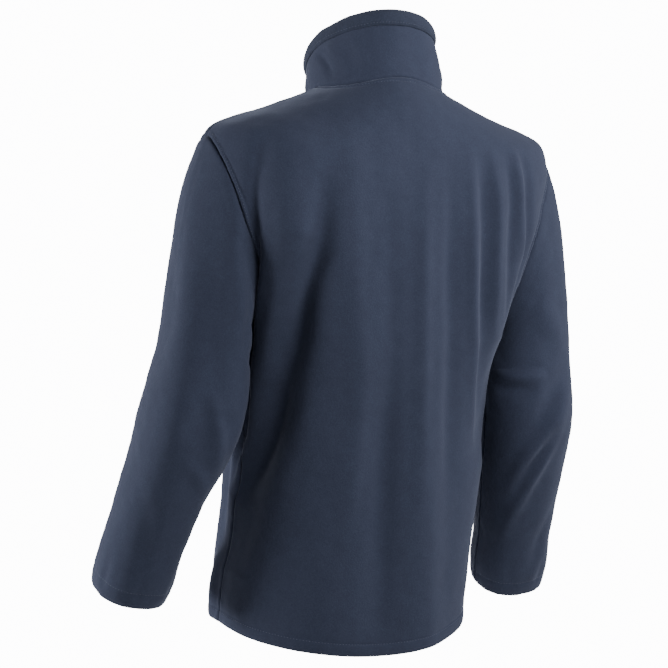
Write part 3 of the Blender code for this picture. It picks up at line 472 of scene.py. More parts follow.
torsoValues = {
    "columns": ("drop", "sideZ", "backZ", "frontZ", "halfWidth", "sideY", "backY", "frontY", "square"),
    "rows": (
        (0.000, 0.000, 0.017, -0.072, 0.080, 0.000, 0.056, -0.090, 2.2),
        (0.038, -0.016, -0.014, -0.092, 0.119, 0.004, 0.082, -0.096, 2.0),
        (0.076, -0.030, -0.049, -0.115, 0.159, 0.008, 0.098, -0.103, 2.0),
        (0.110, -0.042, -0.083, -0.138, 0.196, 0.012, 0.107, -0.109, 2.1),
        (0.138, -0.056, -0.112, -0.158, 0.222, 0.015, 0.112, -0.114, 2.2),
        (0.165, -0.083, -0.140, -0.177, 0.229, 0.016, 0.115, -0.118, 2.4),
        (0.205, -0.136, -0.180, -0.208, 0.219, 0.014, 0.117, -0.122, 2.7),
        (0.260, -0.208, -0.235, -0.252, 0.192, 0.011, 0.117, -0.126, 2.8),
        (0.325, -0.285, -0.300, -0.305, 0.168, 0.008, 0.116, -0.127, 2.6),
        (0.425, -0.395, -0.402, -0.400, 0.160, 0.002, 0.109, -0.127, 2.5),
        (0.545, -0.518, -0.524, -0.512, 0.158, -0.003, 0.110, -0.126, 2.5),
        (0.695, -0.655, -0.673, -0.650, 0.162, -0.006, 0.120, -0.127, 2.5),
    ),
    "tilt": 0.017,
    "shoulderDrop": 0.148,
    "underarmDrop": 0.325,
    "hemDrop": 0.695,
    "shoulderSeam": math.radians(-3),
    "armholeBack": math.radians(17.5),
    "armholeFront": math.radians(24),
    "armholePointed": 1.25,
    "girthRadius": 0.13,
    "wall": 0.0022,
    "frontEdge": 0.0070,
    "armholeRows": 56,
    "shoulderRows": 36,
    "bodyRows": 92,
    "backColumns": 118,
    "frontColumns": 54,
    "unevenness": ((0.045, 0.0012), (0.016, 0.0004)),
    # Name, width in mm on its left and on its right, height in mm, and path: degrees from the
    # left side round the back, and metres down the cloth
    "creases": (
        ("groove beside the left armhole", 5, 4.5, -8.5, (
            (17.5, 0.130), (18.2, 0.165), (18.5, 0.200), (18.4, 0.225), (17.9, 0.242), (16.2, 0.258),
            (13.8, 0.279), (10.2, 0.299), (7.6, 0.321), (6.4, 0.345))),
        ("groove below the left armhole", 5, 4.5, -8.5, (
            (17.0, 0.225), (15.6, 0.258), (13.4, 0.279), (10.2, 0.299), (7.6, 0.321), (6.2, 0.345),
            (4.6, 0.366), (3.9, 0.398), (2.3, 0.434), (-0.5, 0.458), (-4.0, 0.482), (-7.0, 0.520))),
        ("roll beside the groove", 11, 20, 8.0, (
            (25, 0.130), (27, 0.190), (27, 0.240), (24, 0.285), (18, 0.335), (14, 0.390))),
        ("top of the left drag line", 9, 9, -12.0, (
            (37.5, 0.160), (39.0, 0.210), (39.0, 0.235), (38.0, 0.256), (36.5, 0.276), (34.5, 0.300),
            (30.0, 0.370))),
        ("left drag line", 26, 20, -26.0, (
            (34.0, 0.220), (31.3, 0.286), (30.0, 0.310), (28.3, 0.330), (26.5, 0.352), (25.2, 0.376),
            (23.1, 0.410), (20.0, 0.435), (15.5, 0.460), (10.0, 0.490), (3.0, 0.530))),
        ("hollow at the waist on the left", 40, 26, -11.0, (
            (24, 0.380), (21, 0.450), (15, 0.510), (11, 0.570), (10, 0.620))),
        ("soft roll down the middle", 18, 14, 2.6, (
            (46, 0.090), (51.5, 0.194), (56.5, 0.274), (63.5, 0.364), (65, 0.458), (64, 0.570))),
        ("hollow of the back", 18, 16, -2.6, (
            (67, 0.130), (71, 0.190), (78.5, 0.292), (83.5, 0.410), (85, 0.560))),
        ("hollow low on the back", 26, 15, -5.5, ((81, 0.360), (85, 0.450), (87, 0.540), (88, 0.680))),
        ("right roll", 16, 12, 4.0, ((97, 0.100), (98, 0.196), (102, 0.292), (107, 0.386), (112, 0.520))),
        ("right drag line", 11, 15, -5.4, (
            (115, 0.110), (116.5, 0.226), (122.5, 0.332), (128, 0.440), (131, 0.520))),
        ("narrow right ridge", 8, 6, 4.5, (
            (131, 0.110), (129.5, 0.170), (131, 0.240), (133, 0.278), (138, 0.338), (143, 0.400),
            (148, 0.460))),
        ("valley beside it", 8, 11, -8.5, (
            (134.5, 0.110), (135.5, 0.160), (137.0, 0.236), (139.5, 0.282), (144.2, 0.328), (147.5, 0.376),
            (151.0, 0.420))),
        ("second narrow ridge", 5, 5, 4.0, (
            (141.5, 0.115), (141.5, 0.155), (141.8, 0.200), (142.2, 0.235), (145, 0.280), (151, 0.330))),
        ("second valley", 5, 5, -5.5, (
            (148, 0.125), (148, 0.190), (148.2, 0.225), (150, 0.255), (153, 0.285), (156, 0.310))),
        ("third narrow ridge", 4, 4, 3.5, ((152, 0.120), (151.8, 0.190), (153, 0.222), (155.5, 0.252))),
        ("groove beside the right armhole", 4, 4, -6.0, (
            (154.6, 0.130), (154.8, 0.165), (155.2, 0.190), (156.8, 0.215), (158, 0.235), (158, 0.270),
            (160, 0.300))),
        ("fullness at the right side", 45, 45, 13.0, (
            (163, 0.200), (163, 0.300), (163, 0.450), (165, 0.660))),
        ("fullness low on the right", 45, 26, 10.0, ((112, 0.350), (114, 0.460), (116, 0.600), (117, 0.800))),
        ("hollow at the right of the waist", 26, 26, -10.0, ((156, 0.330), (156, 0.400), (157, 0.480))),
        ("hollow before the left side seam", 14, 14, -9.0, (
            (-12, 0.410), (-15, 0.500), (-14, 0.560), (-10, 0.610))),
        ("ripple at the left side seam", 12, 12, 6.0, ((-6, 0.590), (-9, 0.640), (-8, 0.710))),
        ("front left tuck", 14, 18, -8.5, ((-34, 0.150), (-40, 0.280), (-56, 0.470))),
        ("front left roll", 20, 15, 4.0, ((-52, 0.110), (-60, 0.260), (-74, 0.430))),
        ("front left hollow", 12, 12, -3.0, ((-20, 0.300), (-33, 0.420), (-38, 0.560))),
        ("front chest ripple", 10, 8, 2.2, ((-70, 0.200), (-66, 0.330), (-75, 0.450))),
        ("front right tuck", 18, 14, -7.5, ((-147, 0.170), (-138, 0.320), (-122, 0.500))),
        ("front right roll", 15, 20, 3.5, ((-128, 0.130), (-120, 0.250), (-108, 0.400))),
        ("front right ripple", 11, 9, 2.6, ((-160, 0.320), (-150, 0.450), (-147, 0.580))),
    ),
}
torsoAt = readTable(torsoValues["columns"], torsoValues["rows"])


def torsoForm(angle, drop):
    angle, drop = np.broadcast_arrays(np.asarray(angle, float), np.asarray(drop, float))
    level = torsoAt(drop)
    cosine, sine = np.cos(angle), np.sin(angle)
    endZ = np.where(sine > 0, level["backZ"], level["frontZ"])
    endY = np.where(sine > 0, level["backY"], level["frontY"])
    depth = np.abs(endY - level["sideY"])
    radius = squarishRadius(cosine, sine, level["halfWidth"], depth, level["square"])
    x = radius * cosine
    z = level["sideZ"] * cosine**2 + endZ * sine**2 - torsoValues["tilt"] * x
    return np.stack([x, level["sideY"] + radius * sine, z], axis=-1)


def torsoNormal(angle, drop):
    return outwardNormal(torsoForm, np.asarray(angle, float), np.asarray(drop, float))


def torsoCloth(angle, drop):
    height = creaseHeight(torsoValues["creases"], angle, drop, torsoValues["girthRadius"])
    return torsoForm(angle, drop) + height[..., None] * torsoNormal(angle, drop)


# Angle and drop of the armhole seam. The turn starts at the shoulder and goes round by the back.
def armhole(side, turn):
    values = torsoValues
    sine = np.sin(turn)
    reach = np.where(sine > 0, values["armholeBack"], values["armholeFront"])
    away = np.sign(sine) * np.abs(sine) ** values["armholePointed"]
    angle = values["shoulderSeam"] * (1 + np.cos(turn)) / 2 + reach * away
    middle = (values["shoulderDrop"] + values["underarmDrop"]) / 2
    drop = middle - (values["underarmDrop"] - values["shoulderDrop"]) / 2 * np.cos(turn)
    return (angle if side > 0 else math.pi - angle), drop


def armholePoint(side, turn):
    return torsoCloth(*armhole(side, turn))


def armholeIntoBody(side, turn):
    along = armholePoint(side, turn + 0.001) - armholePoint(side, turn - 0.001)
    return side * unit(np.cross(torsoNormal(*armhole(side, turn)), along))


def armholeInwards(side, turn):
    ring = armholePoint(side, np.linspace(0, 2 * math.pi, 73)[:-1])
    return unit(ring.mean(axis=0) - armholePoint(side, turn))


def armholeTurns():
    part = np.linspace(0, 1, torsoValues["armholeRows"] + 1)
    return (math.pi * part + np.arccos(1 - 2 * part)) / 2


# Turn from the middle of the front to where the cloth is this far from it
def zipEdgeAngle(drop, halfGap):
    level = torsoAt(drop)
    return halfGap / (level["sideY"] - level["frontY"])


# At the neck the cloth's thickness is turned half way towards level, to meet the collar's.
def neckInwards(angle):
    outwards = torsoCloth(angle, np.zeros_like(angle)) * np.array([1, 1, 0])
    return -unit(torsoNormal(angle, np.zeros_like(angle)) + unit(outwards))


# The drops of a panel's rows, and the number of the row where the armhole starts
def torsoDrops():
    values = torsoValues
    shoulder = gridLines(values["shoulderDrop"], seamLines, (0,), values["shoulderRows"])
    besideArmhole = armhole(1, armholeTurns())[1][1:-1]
    body = gridLines(values["hemDrop"] - values["underarmDrop"], (0,), hemLines, values["bodyRows"])
    return np.concatenate([shoulder, besideArmhole, values["underarmDrop"] + body]), len(shoulder) - 1


# A panel's edge at the wearer's left: the shoulder seam, the armhole's back or front, and the side seam
def panelEdge(front):
    drops, shoulder = torsoDrops()
    turns = armholeTurns()[1:-1]
    besideArmhole = armhole(1, 2 * math.pi - turns if front else turns)[0]
    below = np.zeros(len(drops) - shoulder - 1 - len(turns))
    return np.concatenate([np.full(shoulder + 1, torsoValues["shoulderSeam"]), besideArmhole, below])


# A panel from one edge's angles to the other's. seams names what each of the two edges is sewn to: the
# left or the right side, or the zip.
def makePanel(name, node, startAngles, endAngles, columns, seams):
    drops, shoulder = torsoDrops()
    underarm = shoulder + torsoValues["armholeRows"]
    lines = linesFor(seamLines, columns)
    angles = np.array([
        anglesAt(lambda angle: torsoForm(angle, drop), start, end, lines)
        for drop, start, end in zip(drops, startAngles, endAngles)])
    levels = np.repeat(drops[:, None], angles.shape[1], axis=1)
    plain = torsoCloth(angles, levels)
    normals = torsoNormal(angles, levels)
    relief = unevenness(plain, torsoValues["unevenness"])
    relief += besideSeam(plain, plain[-1], "hem", 0.5)
    relief += besideSeam(plain, plain[0], "neck", 0.3)
    for column, seam in ((0, seams[0]), (-1, seams[1])):
        if seam == "zip":
            relief += besideSeam(plain, plain[:, column], "zipEdge", 0.5)
        else:
            relief += besideSeam(plain, plain[: shoulder + 1, column], "plain", 0.3)
            relief += besideSeam(plain, plain[shoulder : underarm + 1, column], "welt", 0.7)
            relief += besideSeam(plain, plain[underarm:, column], "plain", 0.7)
    face = plain + np.maximum(relief, -deepestRelief)[..., None] * normals
    inwards = -normals
    inwards[0] = neckInwards(angles[0])
    turns = armholeTurns() if np.sin(angles[-1, columns // 2]) > 0 else 2 * math.pi - armholeTurns()
    for column, seam in ((0, seams[0]), (-1, seams[1])):
        if seam != "zip":
            side = 1 if seam == "left" else -1
            inwards[shoulder : underarm + 1, column] = armholeInwards(side, turns)
    free = (False, seams[1] == "zip", True, seams[0] == "zip")
    piece = makeCloth(name, face, inwards, torsoValues["wall"], fleece, free)
    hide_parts(node)
    return piece


backEdge, frontSideEdge = panelEdge(False), panelEdge(True)
zipEdge = zipEdgeAngle(torsoDrops()[0], torsoValues["frontEdge"]) - math.pi / 2
backCloth = makePanel(
    "back_cloth", "back", backEdge, math.pi - backEdge, torsoValues["backColumns"],
    ("left", "right"))
frontLeftCloth = makePanel(
    "front_left_cloth", "front_left", zipEdge, frontSideEdge, torsoValues["frontColumns"],
    ("zip", "left"))
frontRightCloth = makePanel(
    "front_right_cloth", "front_right", -math.pi - frontSideEdge, -math.pi - zipEdge,
    torsoValues["frontColumns"], ("right", "zip"))
print("jacket: back and fronts made")

sleeveValues = {
    "columns": ("reach", "x", "y", "z", "halfOut", "halfIn", "halfDepth"),
    "rows": {
        1: (
            (0.000, 0.217, 0.014, -0.335, 0.053, 0.046, 0.062),
            (0.060, 0.228, 0.020, -0.394, 0.058, 0.055, 0.063),
            (0.140, 0.244, 0.006, -0.472, 0.053, 0.048, 0.055),
            (0.215, 0.257, -0.013, -0.545, 0.050, 0.044, 0.049),
            (0.278, 0.266, -0.031, -0.606, 0.048, 0.045, 0.047),
            (0.292, 0.268, -0.035, -0.621, 0.045, 0.042, 0.044),
        ),
        -1: (
            (0.000, 0.229, 0.013, -0.335, 0.062, 0.054, 0.063),
            (0.060, 0.236, 0.020, -0.394, 0.061, 0.057, 0.063),
            (0.140, 0.245, 0.006, -0.473, 0.055, 0.054, 0.056),
            (0.215, 0.256, -0.013, -0.548, 0.050, 0.049, 0.050),
            (0.288, 0.266, -0.033, -0.618, 0.049, 0.046, 0.048),
            (0.303, 0.268, -0.037, -0.633, 0.046, 0.043, 0.045),
        ),
    },
    "capLength": 0.22,
    "capStartPull": 0.62,
    "capEndPull": 0.80,
    "capShoulderWay": (0.64, 0, -0.72),
    "capUnderarmWay": (0.35, 0, -0.92),
    "capBackLean": 0.06,
    "square": 2.3,
    "girthRadius": 0.055,
    "columnsBetween": 96,
    "capRows": 56,
    "armRows": 72,
    "unevenness": ((0.040, 0.0011), (0.015, 0.0004)),
    # Name, width in mm on each side, height in mm, and path: degrees from the outside round the
    # back, and metres down from the level of the underarm
    "creases": {
        1: (
            ("hollow down the back of the arm", 27, 23, -7.0, (
                (42, -0.215), (48, -0.180), (56, -0.148), (63, -0.112), (71, -0.074), (78, -0.025),
                (85, 0.030), (90, 0.075), (92, 0.140))),
            ("roll outside it", 16, 14, 3.2, ((24, -0.150), (39, -0.060), (46, 0.060), (46, 0.200))),
            ("fullness at the inner back", 24, 16, 7.0, (
                (112, -0.170), (120, -0.120), (128, -0.080), (136, -0.030), (138, 0.030), (136, 0.090),
                (134, 0.150))),
            ("inner puff", 12, 12, 3.5, ((136, -0.118), (142, -0.090), (147, -0.060))),
            ("lower inner puff", 12, 12, 3.5, ((144, -0.028), (147, 0.012), (149, 0.045))),
            ("ridge behind the shoulder", 9, 9, 3.6, (
                (76, -0.205), (90, -0.150), (103, -0.090), (110, -0.040))),
            ("hollow above the elbow", 9, 8, -3.0, ((118, -0.140), (112, -0.080), (120, -0.030))),
            ("elbow ridge", 9, 8, 5.0, ((84, 0.030), (104, 0.065), (118, 0.110))),
            ("elbow hollow", 10, 9, -4.5, ((60, 0.075), (95, 0.055), (128, 0.060))),
            ("second elbow ridge", 8, 7, 2.6, ((70, 0.100), (96, 0.110), (124, 0.150))),
            ("bump above the underarm seam", 9, 9, 4.0, ((150, -0.060), (158, -0.030), (164, 0.000))),
            ("inner roll", 12, 12, 5.0, ((200, -0.020), (232, 0.030), (262, 0.090))),
            ("inner hollow", 12, 12, -4.0, ((285, 0.010), (250, 0.060), (215, 0.130))),
            ("forearm hollow", 11, 11, -2.4, ((40, 0.150), (62, 0.200), (66, 0.260))),
            ("cuff tuck", 7, 7, -1.6, ((20, 0.240), (24, 0.288))),
            ("cuff tuck", 7, 7, -1.4, ((75, 0.235), (78, 0.290))),
            ("cuff tuck", 7, 7, -1.2, ((130, 0.245), (132, 0.290))),
            ("cuff tuck", 7, 7, -1.5, ((240, 0.240), (236, 0.290))),
            ("cuff tuck", 7, 7, -1.5, ((310, 0.240), (312, 0.290))),
        ),
        -1: (
            ("crescent at the elbow", 9, 9, 5.5, ((160, 0.006), (128, 0.010), (92, 0.014))),
            ("shadow under the crescent", 7, 7, -3.5, ((158, 0.026), (130, 0.026), (104, 0.028))),
            ("roll above it", 12, 12, 4.0, ((100, -0.120), (80, -0.070), (62, -0.020))),
            ("upper slanting ridge", 8, 8, 6.5, ((58, 0.028), (67, 0.043), (108, 0.086), (134, 0.155))),
            ("lower slanting ridge", 8, 8, 6.0, (
                (62, 0.052), (71, 0.063), (99, 0.115), (121, 0.171), (138, 0.222))),
            ("hollow above them", 11, 11, -4.5, ((52, 0.000), (85, 0.035), (116, 0.080))),
            ("hollow between them", 7, 7, -3.5, ((75, 0.066), (105, 0.105), (126, 0.158))),
            ("front hollow", 15, 15, -5.0, ((300, -0.160), (285, -0.060), (262, 0.040))),
            ("front roll", 12, 12, 4.5, ((290, 0.020), (252, 0.060), (212, 0.120))),
            ("forearm hollow", 10, 10, -2.4, ((50, 0.170), (74, 0.220), (80, 0.270))),
            ("cuff tuck", 7, 7, -1.6, ((60, 0.250), (64, 0.298))),
            ("cuff tuck", 7, 7, -1.4, ((118, 0.245), (114, 0.300))),
            ("cuff tuck", 7, 7, -1.4, ((20, 0.250), (18, 0.300))),
            ("cuff tuck", 7, 7, -1.5, ((250, 0.250), (246, 0.300))),
        ),
    },
}
sleeveAt = {side: readTable(sleeveValues["columns"], rows) for side, rows in sleeveValues["rows"].items()}
cuffReach = {side: rows[-1][0] for side, rows in sleeveValues["rows"].items()}


def armForm(side, turn, reach):
    at = sleeveAt[side]
    ring = at(reach)
    inside = np.clip(reach, 0.001, cuffReach[side] - 0.001)
    before, after = at(inside - 0.001), at(inside + 0.001)
    centre = np.stack([ring["x"], ring["y"], ring["z"]], axis=-1)
    along = unit(np.stack([after[axis] - before[axis] for axis in "xyz"], axis=-1))
    outwards = unit(np.array([1.0, 0, 0]) - along[..., :1] * along)
    backwards = np.cross(outwards, along)
    cosine, sine = np.cos(turn), np.sin(turn)
    halfSide = np.where(cosine > 0, ring["halfOut"], ring["halfIn"])
    radius = squarishRadius(cosine, sine, halfSide, ring["halfDepth"], sleeveValues["square"])
    return centre + (radius * cosine)[..., None] * outwards + (radius * sine)[..., None] * backwards


# The way the cap leaves the armhole, steeper under the arm than at the shoulder.
def capLeaving(turn):
    shoulder = np.array(sleeveValues["capShoulderWay"])
    underarm = np.array(sleeveValues["capUnderarmWay"])
    lean = np.array([0, sleeveValues["capBackLean"], 0])
    cosine, sine = np.cos(turn)[..., None], np.sin(turn)[..., None]
    return unit((shoulder + underarm) / 2 + (shoulder - underarm) / 2 * cosine + lean * sine)


# A point of the sleeve as on the left arm. turn is a row of turns, and reach a column of reaches.
def sleeveForm(side, turn, reach):
    values = sleeveValues
    start = armholePoint(side, turn) * np.array([side, 1, 1])
    arm = armForm(side, turn, np.maximum(reach, 0))
    end = armForm(side, turn, np.zeros((1, 1)))
    leaving = unit(armForm(side, turn, np.full((1, 1), 0.002)) - end)
    length = np.linalg.norm(end - start, axis=-1)[..., None]
    part = np.clip(reach / values["capLength"] + 1, 0, 1)[..., None]
    startPull = capLeaving(turn) * length * values["capStartPull"]
    cap = hermite(start, startPull, end, leaving * length * values["capEndPull"], part)
    return np.where(reach[..., None] > 0, arm, cap)


def sleeveNormal(side, turn, reach):
    reach = np.maximum(reach, 0.001 - sleeveValues["capLength"])
    return outwardNormal(lambda around, along: sleeveForm(side, around, along), turn, reach)


# An edge that meets the torso sinks with the torso's own edge, and the cloth beside it less and less.
def sinkingEdge(plain, torsoNormals, profile):
    fadeMm = 2.2
    sunk = torsoNormals * seamProfiles[profile][0][1] / 1000
    away = np.linalg.norm(plain - plain[:1], axis=-1)[..., None] * 1000
    return sunk * np.exp(-((away / fadeMm) ** 2))


def makeSleeve(name, node, side):
    values = sleeveValues
    evenReach, seamFade = 0.06, 0.004    # where the columns are evenly spaced, and where unevenness starts
    mirror = np.array([side, 1, 1])
    lines = linesFor(seamLines, values["columnsBetween"])
    ring = np.full((1, 1), evenReach)
    turn = anglesAt(lambda turn: armForm(side, turn[None], ring)[0], math.pi, 3 * math.pi, lines)[None, :-1]
    cap = gridLines(values["capLength"], seamLines, (0,), values["capRows"]) - values["capLength"]
    arm = gridLines(cuffReach[side], (0,), cuffLines, values["armRows"])[1:]
    reach = np.concatenate([cap, arm])[:, None]
    normals = sleeveNormal(side, turn, reach)
    height = creaseHeight(values["creases"][side], turn, reach, values["girthRadius"])
    plain = sleeveForm(side, turn, reach) + height[..., None] * normals
    head = np.vstack([plain[0], plain[0, :1]])
    relief = unevenness(plain, values["unevenness"])
    relief *= 1 - np.exp(-((reach + values["capLength"]) / seamFade) ** 2)
    relief += besideSeam(plain, head, "sleeveHead", 0.5)
    relief += besideSeam(plain, np.vstack([plain[-1], plain[-1, :1]]), "cuff", 0.9)
    relief += besideSeam(plain, plain[:, 0], "underarm", 1.1)
    relief[0] = 0
    face = plain + np.maximum(relief, -deepestRelief)[..., None] * normals
    face += sinkingEdge(plain, torsoNormal(*armhole(side, turn[0])) * mirror, "welt")
    inwards = -normals
    inwards[0] = armholeInwards(side, turn[0]) * mirror
    face, inwards = face * mirror, inwards * mirror
    if side < 0:
        face, inwards = face[:, ::-1], inwards[:, ::-1]
    free = (False, False, True, False)
    piece = makeCloth(name, face, inwards, torsoValues["wall"], fleece, free, wraps=True)
    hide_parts(node)
    return piece


sleeveLeftCloth = makeSleeve("sleeve_left_cloth", "sleeve_left", 1)
sleeveRightCloth = makeSleeve("sleeve_right_cloth", "sleeve_right", -1)
print("jacket: sleeves made")

collarValues = {
    "halfWidth": 0.071,
    "halfDepth": 0.073,
    "y": -0.041,
    "z": 0.056,
    "slope": 0.568,
    "square": 2.3,
    "bulge": 0.004,
    "bulgeBehind": 0.0016,
    "wall": 0.0036,
    "stand": 0.080,
    "girthRadius": 0.072,
    # Shares of the stand: where the band starts, how far the collar goes up inside it, and over how
    # much of it the creases fade out below the band
    "bandStart": 0.76,
    "insideBand": 0.95,
    "fade": 0.12,
    "columnsBetween": 130,
    "rowsBetween": 24,
    "unevenness": ((0.03, 0.0009),),
    # Name, width in mm on each side, height in mm, and path: degrees from the left round the
    # back, and metres up from the neck seam
    "creases": (
        ("slanting fold on the left", 6, 5, 3.4, ((18, 0.062), (34, 0.036), (43, 0.006))),
        ("hollow beside it", 5, 5, -3.6, ((8, 0.050), (22, 0.030), (30, 0.004))),
        ("second slanting fold", 6, 5, 2.5, ((40, 0.060), (52, 0.036), (58, 0.014))),
        ("soft hollow at the back", 14, 14, -1.2, ((96, 0.058), (104, 0.032), (100, 0.010))),
        ("right fold", 7, 6, 2.4, ((168, 0.054), (156, 0.030), (150, 0.006))),
        ("right hollow", 6, 6, -1.8, ((178, 0.050), (170, 0.028), (163, 0.004))),
        ("front left fold", 7, 7, 1.6, ((-40, 0.050), (-30, 0.030), (-28, 0.008))),
        ("front right hollow", 7, 7, -1.6, ((224, 0.052), (214, 0.030), (212, 0.008))),
    ),
}
bandValues = {
    "wall": 0.0018,
    # Its section in mm, up from its lower edge and out from the collar
    "section": (
        (-0.8, 0.9), (1.0, 2.2), (4.0, 3.5), (9.0, 4.3), (13.0, 4.0), (16.5, 2.8), (19.0, 0.6), (20.2, -1.8),
        (19.4, -4.0), (17.0, -5.3), (13.0, -5.8), (8.0, -5.9), (3.0, -5.8), (0.2, -5.6),
    ),
    "sectionPoints": 34,
    "swell": 0.05,           # how much thicker and thinner it gets along its length, as a share
    "swellTurns": ((0.21, 0), (0.083, 1)),
    "unevenness": ((0.018, 0.0006),),
    "stitchesUp": 0.0025,    # from its lower edge
    "stitchesOut": 0.003,
}


def collarTop(angle):
    values = collarValues
    cosine, sine = np.cos(angle), np.sin(angle)
    radius = squarishRadius(cosine, sine, values["halfWidth"], values["halfDepth"], values["square"])
    y = radius * sine
    return np.stack([radius * cosine, values["y"] + y, values["z"] + values["slope"] * y], axis=-1)


def neckEdge(angle):
    return torsoCloth(angle, np.zeros_like(angle))


# Angles of the collar's columns on its lower and on its upper edge, from one zip edge round to the other
def collarAngles(lines):
    neckReach = -torsoValues["rows"][0][torsoValues["columns"].index("frontY")]
    found = []
    for curve, reach in ((neckEdge, neckReach), (collarTop, collarValues["halfDepth"])):
        turned = torsoValues["frontEdge"] / reach
        found.append(anglesAt(curve, turned - math.pi / 2, 1.5 * math.pi - turned, lines))
    return found


def collarForm(lowAngle, topAngle, part):
    low, top = neckEdge(lowAngle), collarTop(topAngle)
    sideways = collarValues["bulge"] * np.cos(topAngle)
    backwards = collarValues["bulgeBehind"] * np.sin(topAngle)
    bulge = np.stack([sideways, backwards, np.zeros_like(topAngle)], axis=-1)
    return low + (top - low) * part + bulge * math.sin(math.pi * part)


# Ways up and out at a height on the collar
def collarFrame(lowAngle, topAngle, part, step=0.02):
    low = collarForm(lowAngle, topAngle, part - step)
    high = collarForm(lowAngle, topAngle, part + step)
    upwards = unit(high - low)
    around = np.gradient(collarForm(lowAngle, topAngle, part), axis=0)
    return upwards, unit(np.cross(around, upwards))


def makeCollar():
    values = collarValues
    stand = values["stand"]
    lowAngle, topAngle = collarAngles(linesFor(seamLines, values["columnsBetween"]))
    parts = gridLines(values["insideBand"] * stand, seamLines, (0,), values["rowsBetween"]) / stand
    plain = np.array([collarForm(lowAngle, topAngle, part) for part in parts])
    normals = np.array([collarFrame(lowAngle, topAngle, part)[1] for part in parts])
    risen = parts[:, None] * stand
    relief = creaseHeight(values["creases"], topAngle[None], risen, values["girthRadius"])
    relief += unevenness(plain, values["unevenness"])
    for line, profile in ((plain[:, 0], "zipEdge"), (plain[:, -1], "zipEdge"), (plain[0], "collarFoot")):
        relief += besideSeam(plain, line, profile, 0.4)
    relief *= np.clip((values["bandStart"] - parts) / values["fade"], 0, 1)[:, None]
    relief[0] = 0
    face = plain + relief[..., None] * normals
    face += sinkingEdge(plain, torsoNormal(lowAngle, np.zeros_like(lowAngle)), "neck")
    inwards = -normals
    inwards[0] = neckInwards(lowAngle)
    free = (False, True, False, True)
    piece = makeCloth(
        "collar_cloth", face[::-1], inwards[::-1], values["wall"], fleece, free)
    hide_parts("collar")
    return piece


# A strip folded over the collar's upper edge. With it comes the line that its stitches follow.
def makeBand():
    values = bandValues
    lowAngle, topAngle = collarAngles(linesFor(edgeLines, collarValues["columnsBetween"]))
    base = collarForm(lowAngle, topAngle, collarValues["bandStart"])
    upwards, outwards = collarFrame(lowAngle, topAngle, collarValues["bandStart"])
    section = smoothPath(values["section"], values["sectionPoints"])[::-1] / 1000
    column = np.arange(len(base))[:, None]
    swollen = 1 + sum(values["swell"] * np.sin(column * turn + start) for turn, start in values["swellTurns"])
    plain = np.array([base + upwards * up + outwards * out * swollen for up, out in section])
    inwards = -unit(np.cross(np.gradient(plain, axis=0), np.gradient(plain, axis=1)))
    line = plain[-1] + upwards * values["stitchesUp"]
    relief = unevenness(plain, values["unevenness"])
    relief += besideSeam(plain, line, "bandStitches", 0.5)
    face = plain - relief[..., None] * inwards
    free = (True, True, True, True)
    piece = makeCloth(
        "collar_band_cloth", face, inwards, values["wall"], bandFleece, free)
    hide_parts("collar_band")
    return piece, line + outwards * values["stitchesOut"]


collarCloth = makeCollar()
bandCloth, bandStitchLine = makeBand()
print("jacket: collar made")

zipValues = {
    "tapeHalfWidth": 0.015,
    "tapeColumns": (0.00015, 0.0015, 0.0030, 0.0050, 0.0070, 0.0095, 0.0120),
    "tapeRows": 180,
    "tapeThickness": 0.0008,
    # How far the tape is behind the cloth's face, and where it steps from one to the other below the neck
    "tapeBehindBody": 0.0032,
    "tapeBehindCollar": 0.0050,
    "stepEnd": 0.030,
    "stepLength": 0.022,
    "tapeBelowTop": 0.004,
    "chainHalfWidth": 0.0029,
    "chainThickness": 0.0019,
    "gap": 0.0003,
}


# Points on the face of the cloth from the hem up to the collar's top, at a small distance x beside the
# centre
def frontLine(x):
    drops = np.linspace(torsoValues["hemDrop"], 0, 140)
    body = torsoCloth(zipEdgeAngle(drops, x) - math.pi / 2, drops)
    lowAngle = zipEdgeAngle(np.zeros(1), x) - math.pi / 2
    topAngle = np.array([x / collarValues["halfDepth"] - math.pi / 2])
    collar = np.array([collarForm(lowAngle, topAngle, part)[0] for part in np.linspace(0, 1, 20)[1:]])
    return np.concatenate([body, collar])


# Distances below the zip's top, with the point, the ways forwards and up, and the tape's depth at each
def zipRows():
    values = zipValues
    points = frontLine(0.0)[::-1]
    upwards = -unit(np.gradient(points, axis=0))
    forwards = np.stack([upwards[:, 0], -upwards[:, 2], upwards[:, 1]], axis=-1)
    belowTop = lengthsAlong(points)
    neckZ = torsoForm(-math.pi / 2, 0)[2]
    part = np.clip((points[:, 2] - neckZ + values["stepEnd"]) / values["stepLength"], 0, 1)
    behind = values["tapeBehindBody"]
    depth = behind + (values["tapeBehindCollar"] - behind) * part**2 * (3 - 2 * part)
    return belowTop, points, forwards, upwards, depth


zipLine = zipRows()


# The same, read at any distances below the top
def alongZip(distances):
    belowTop, points, forwards, upwards, depth = zipLine
    place, forward, upward = (pointsAt(distances, belowTop, rows) for rows in (points, forwards, upwards))
    return place, unit(forward), unit(upward), np.interp(distances, belowTop, depth)


def makeTape(name, node, side):
    values = zipValues
    belowTop, _, forwards, _, depth = zipLine
    distances = np.linspace(values["tapeBelowTop"], belowTop[-1], values["tapeRows"])
    columns = []
    for x in (*values["tapeColumns"], values["tapeHalfWidth"]):
        behind = frontLine(x)[::-1] - forwards * depth[:, None]
        columns.append(pointsAt(distances, belowTop, behind) * np.array([side, 1, 1]))
    if side < 0:
        columns = columns[::-1]
    face = np.stack(columns, axis=1)
    inwards = np.repeat(-alongZip(distances)[1][:, None], len(columns), axis=1)
    free = (True, True, True, True)
    piece = makeCloth(name, face, inwards, values["tapeThickness"], tapeCloth, free)
    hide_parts(node)
    return piece


makeTape("zip_tape_left_cloth", "zip_tape_left", 1)
makeTape("zip_tape_right_cloth", "zip_tape_right", -1)


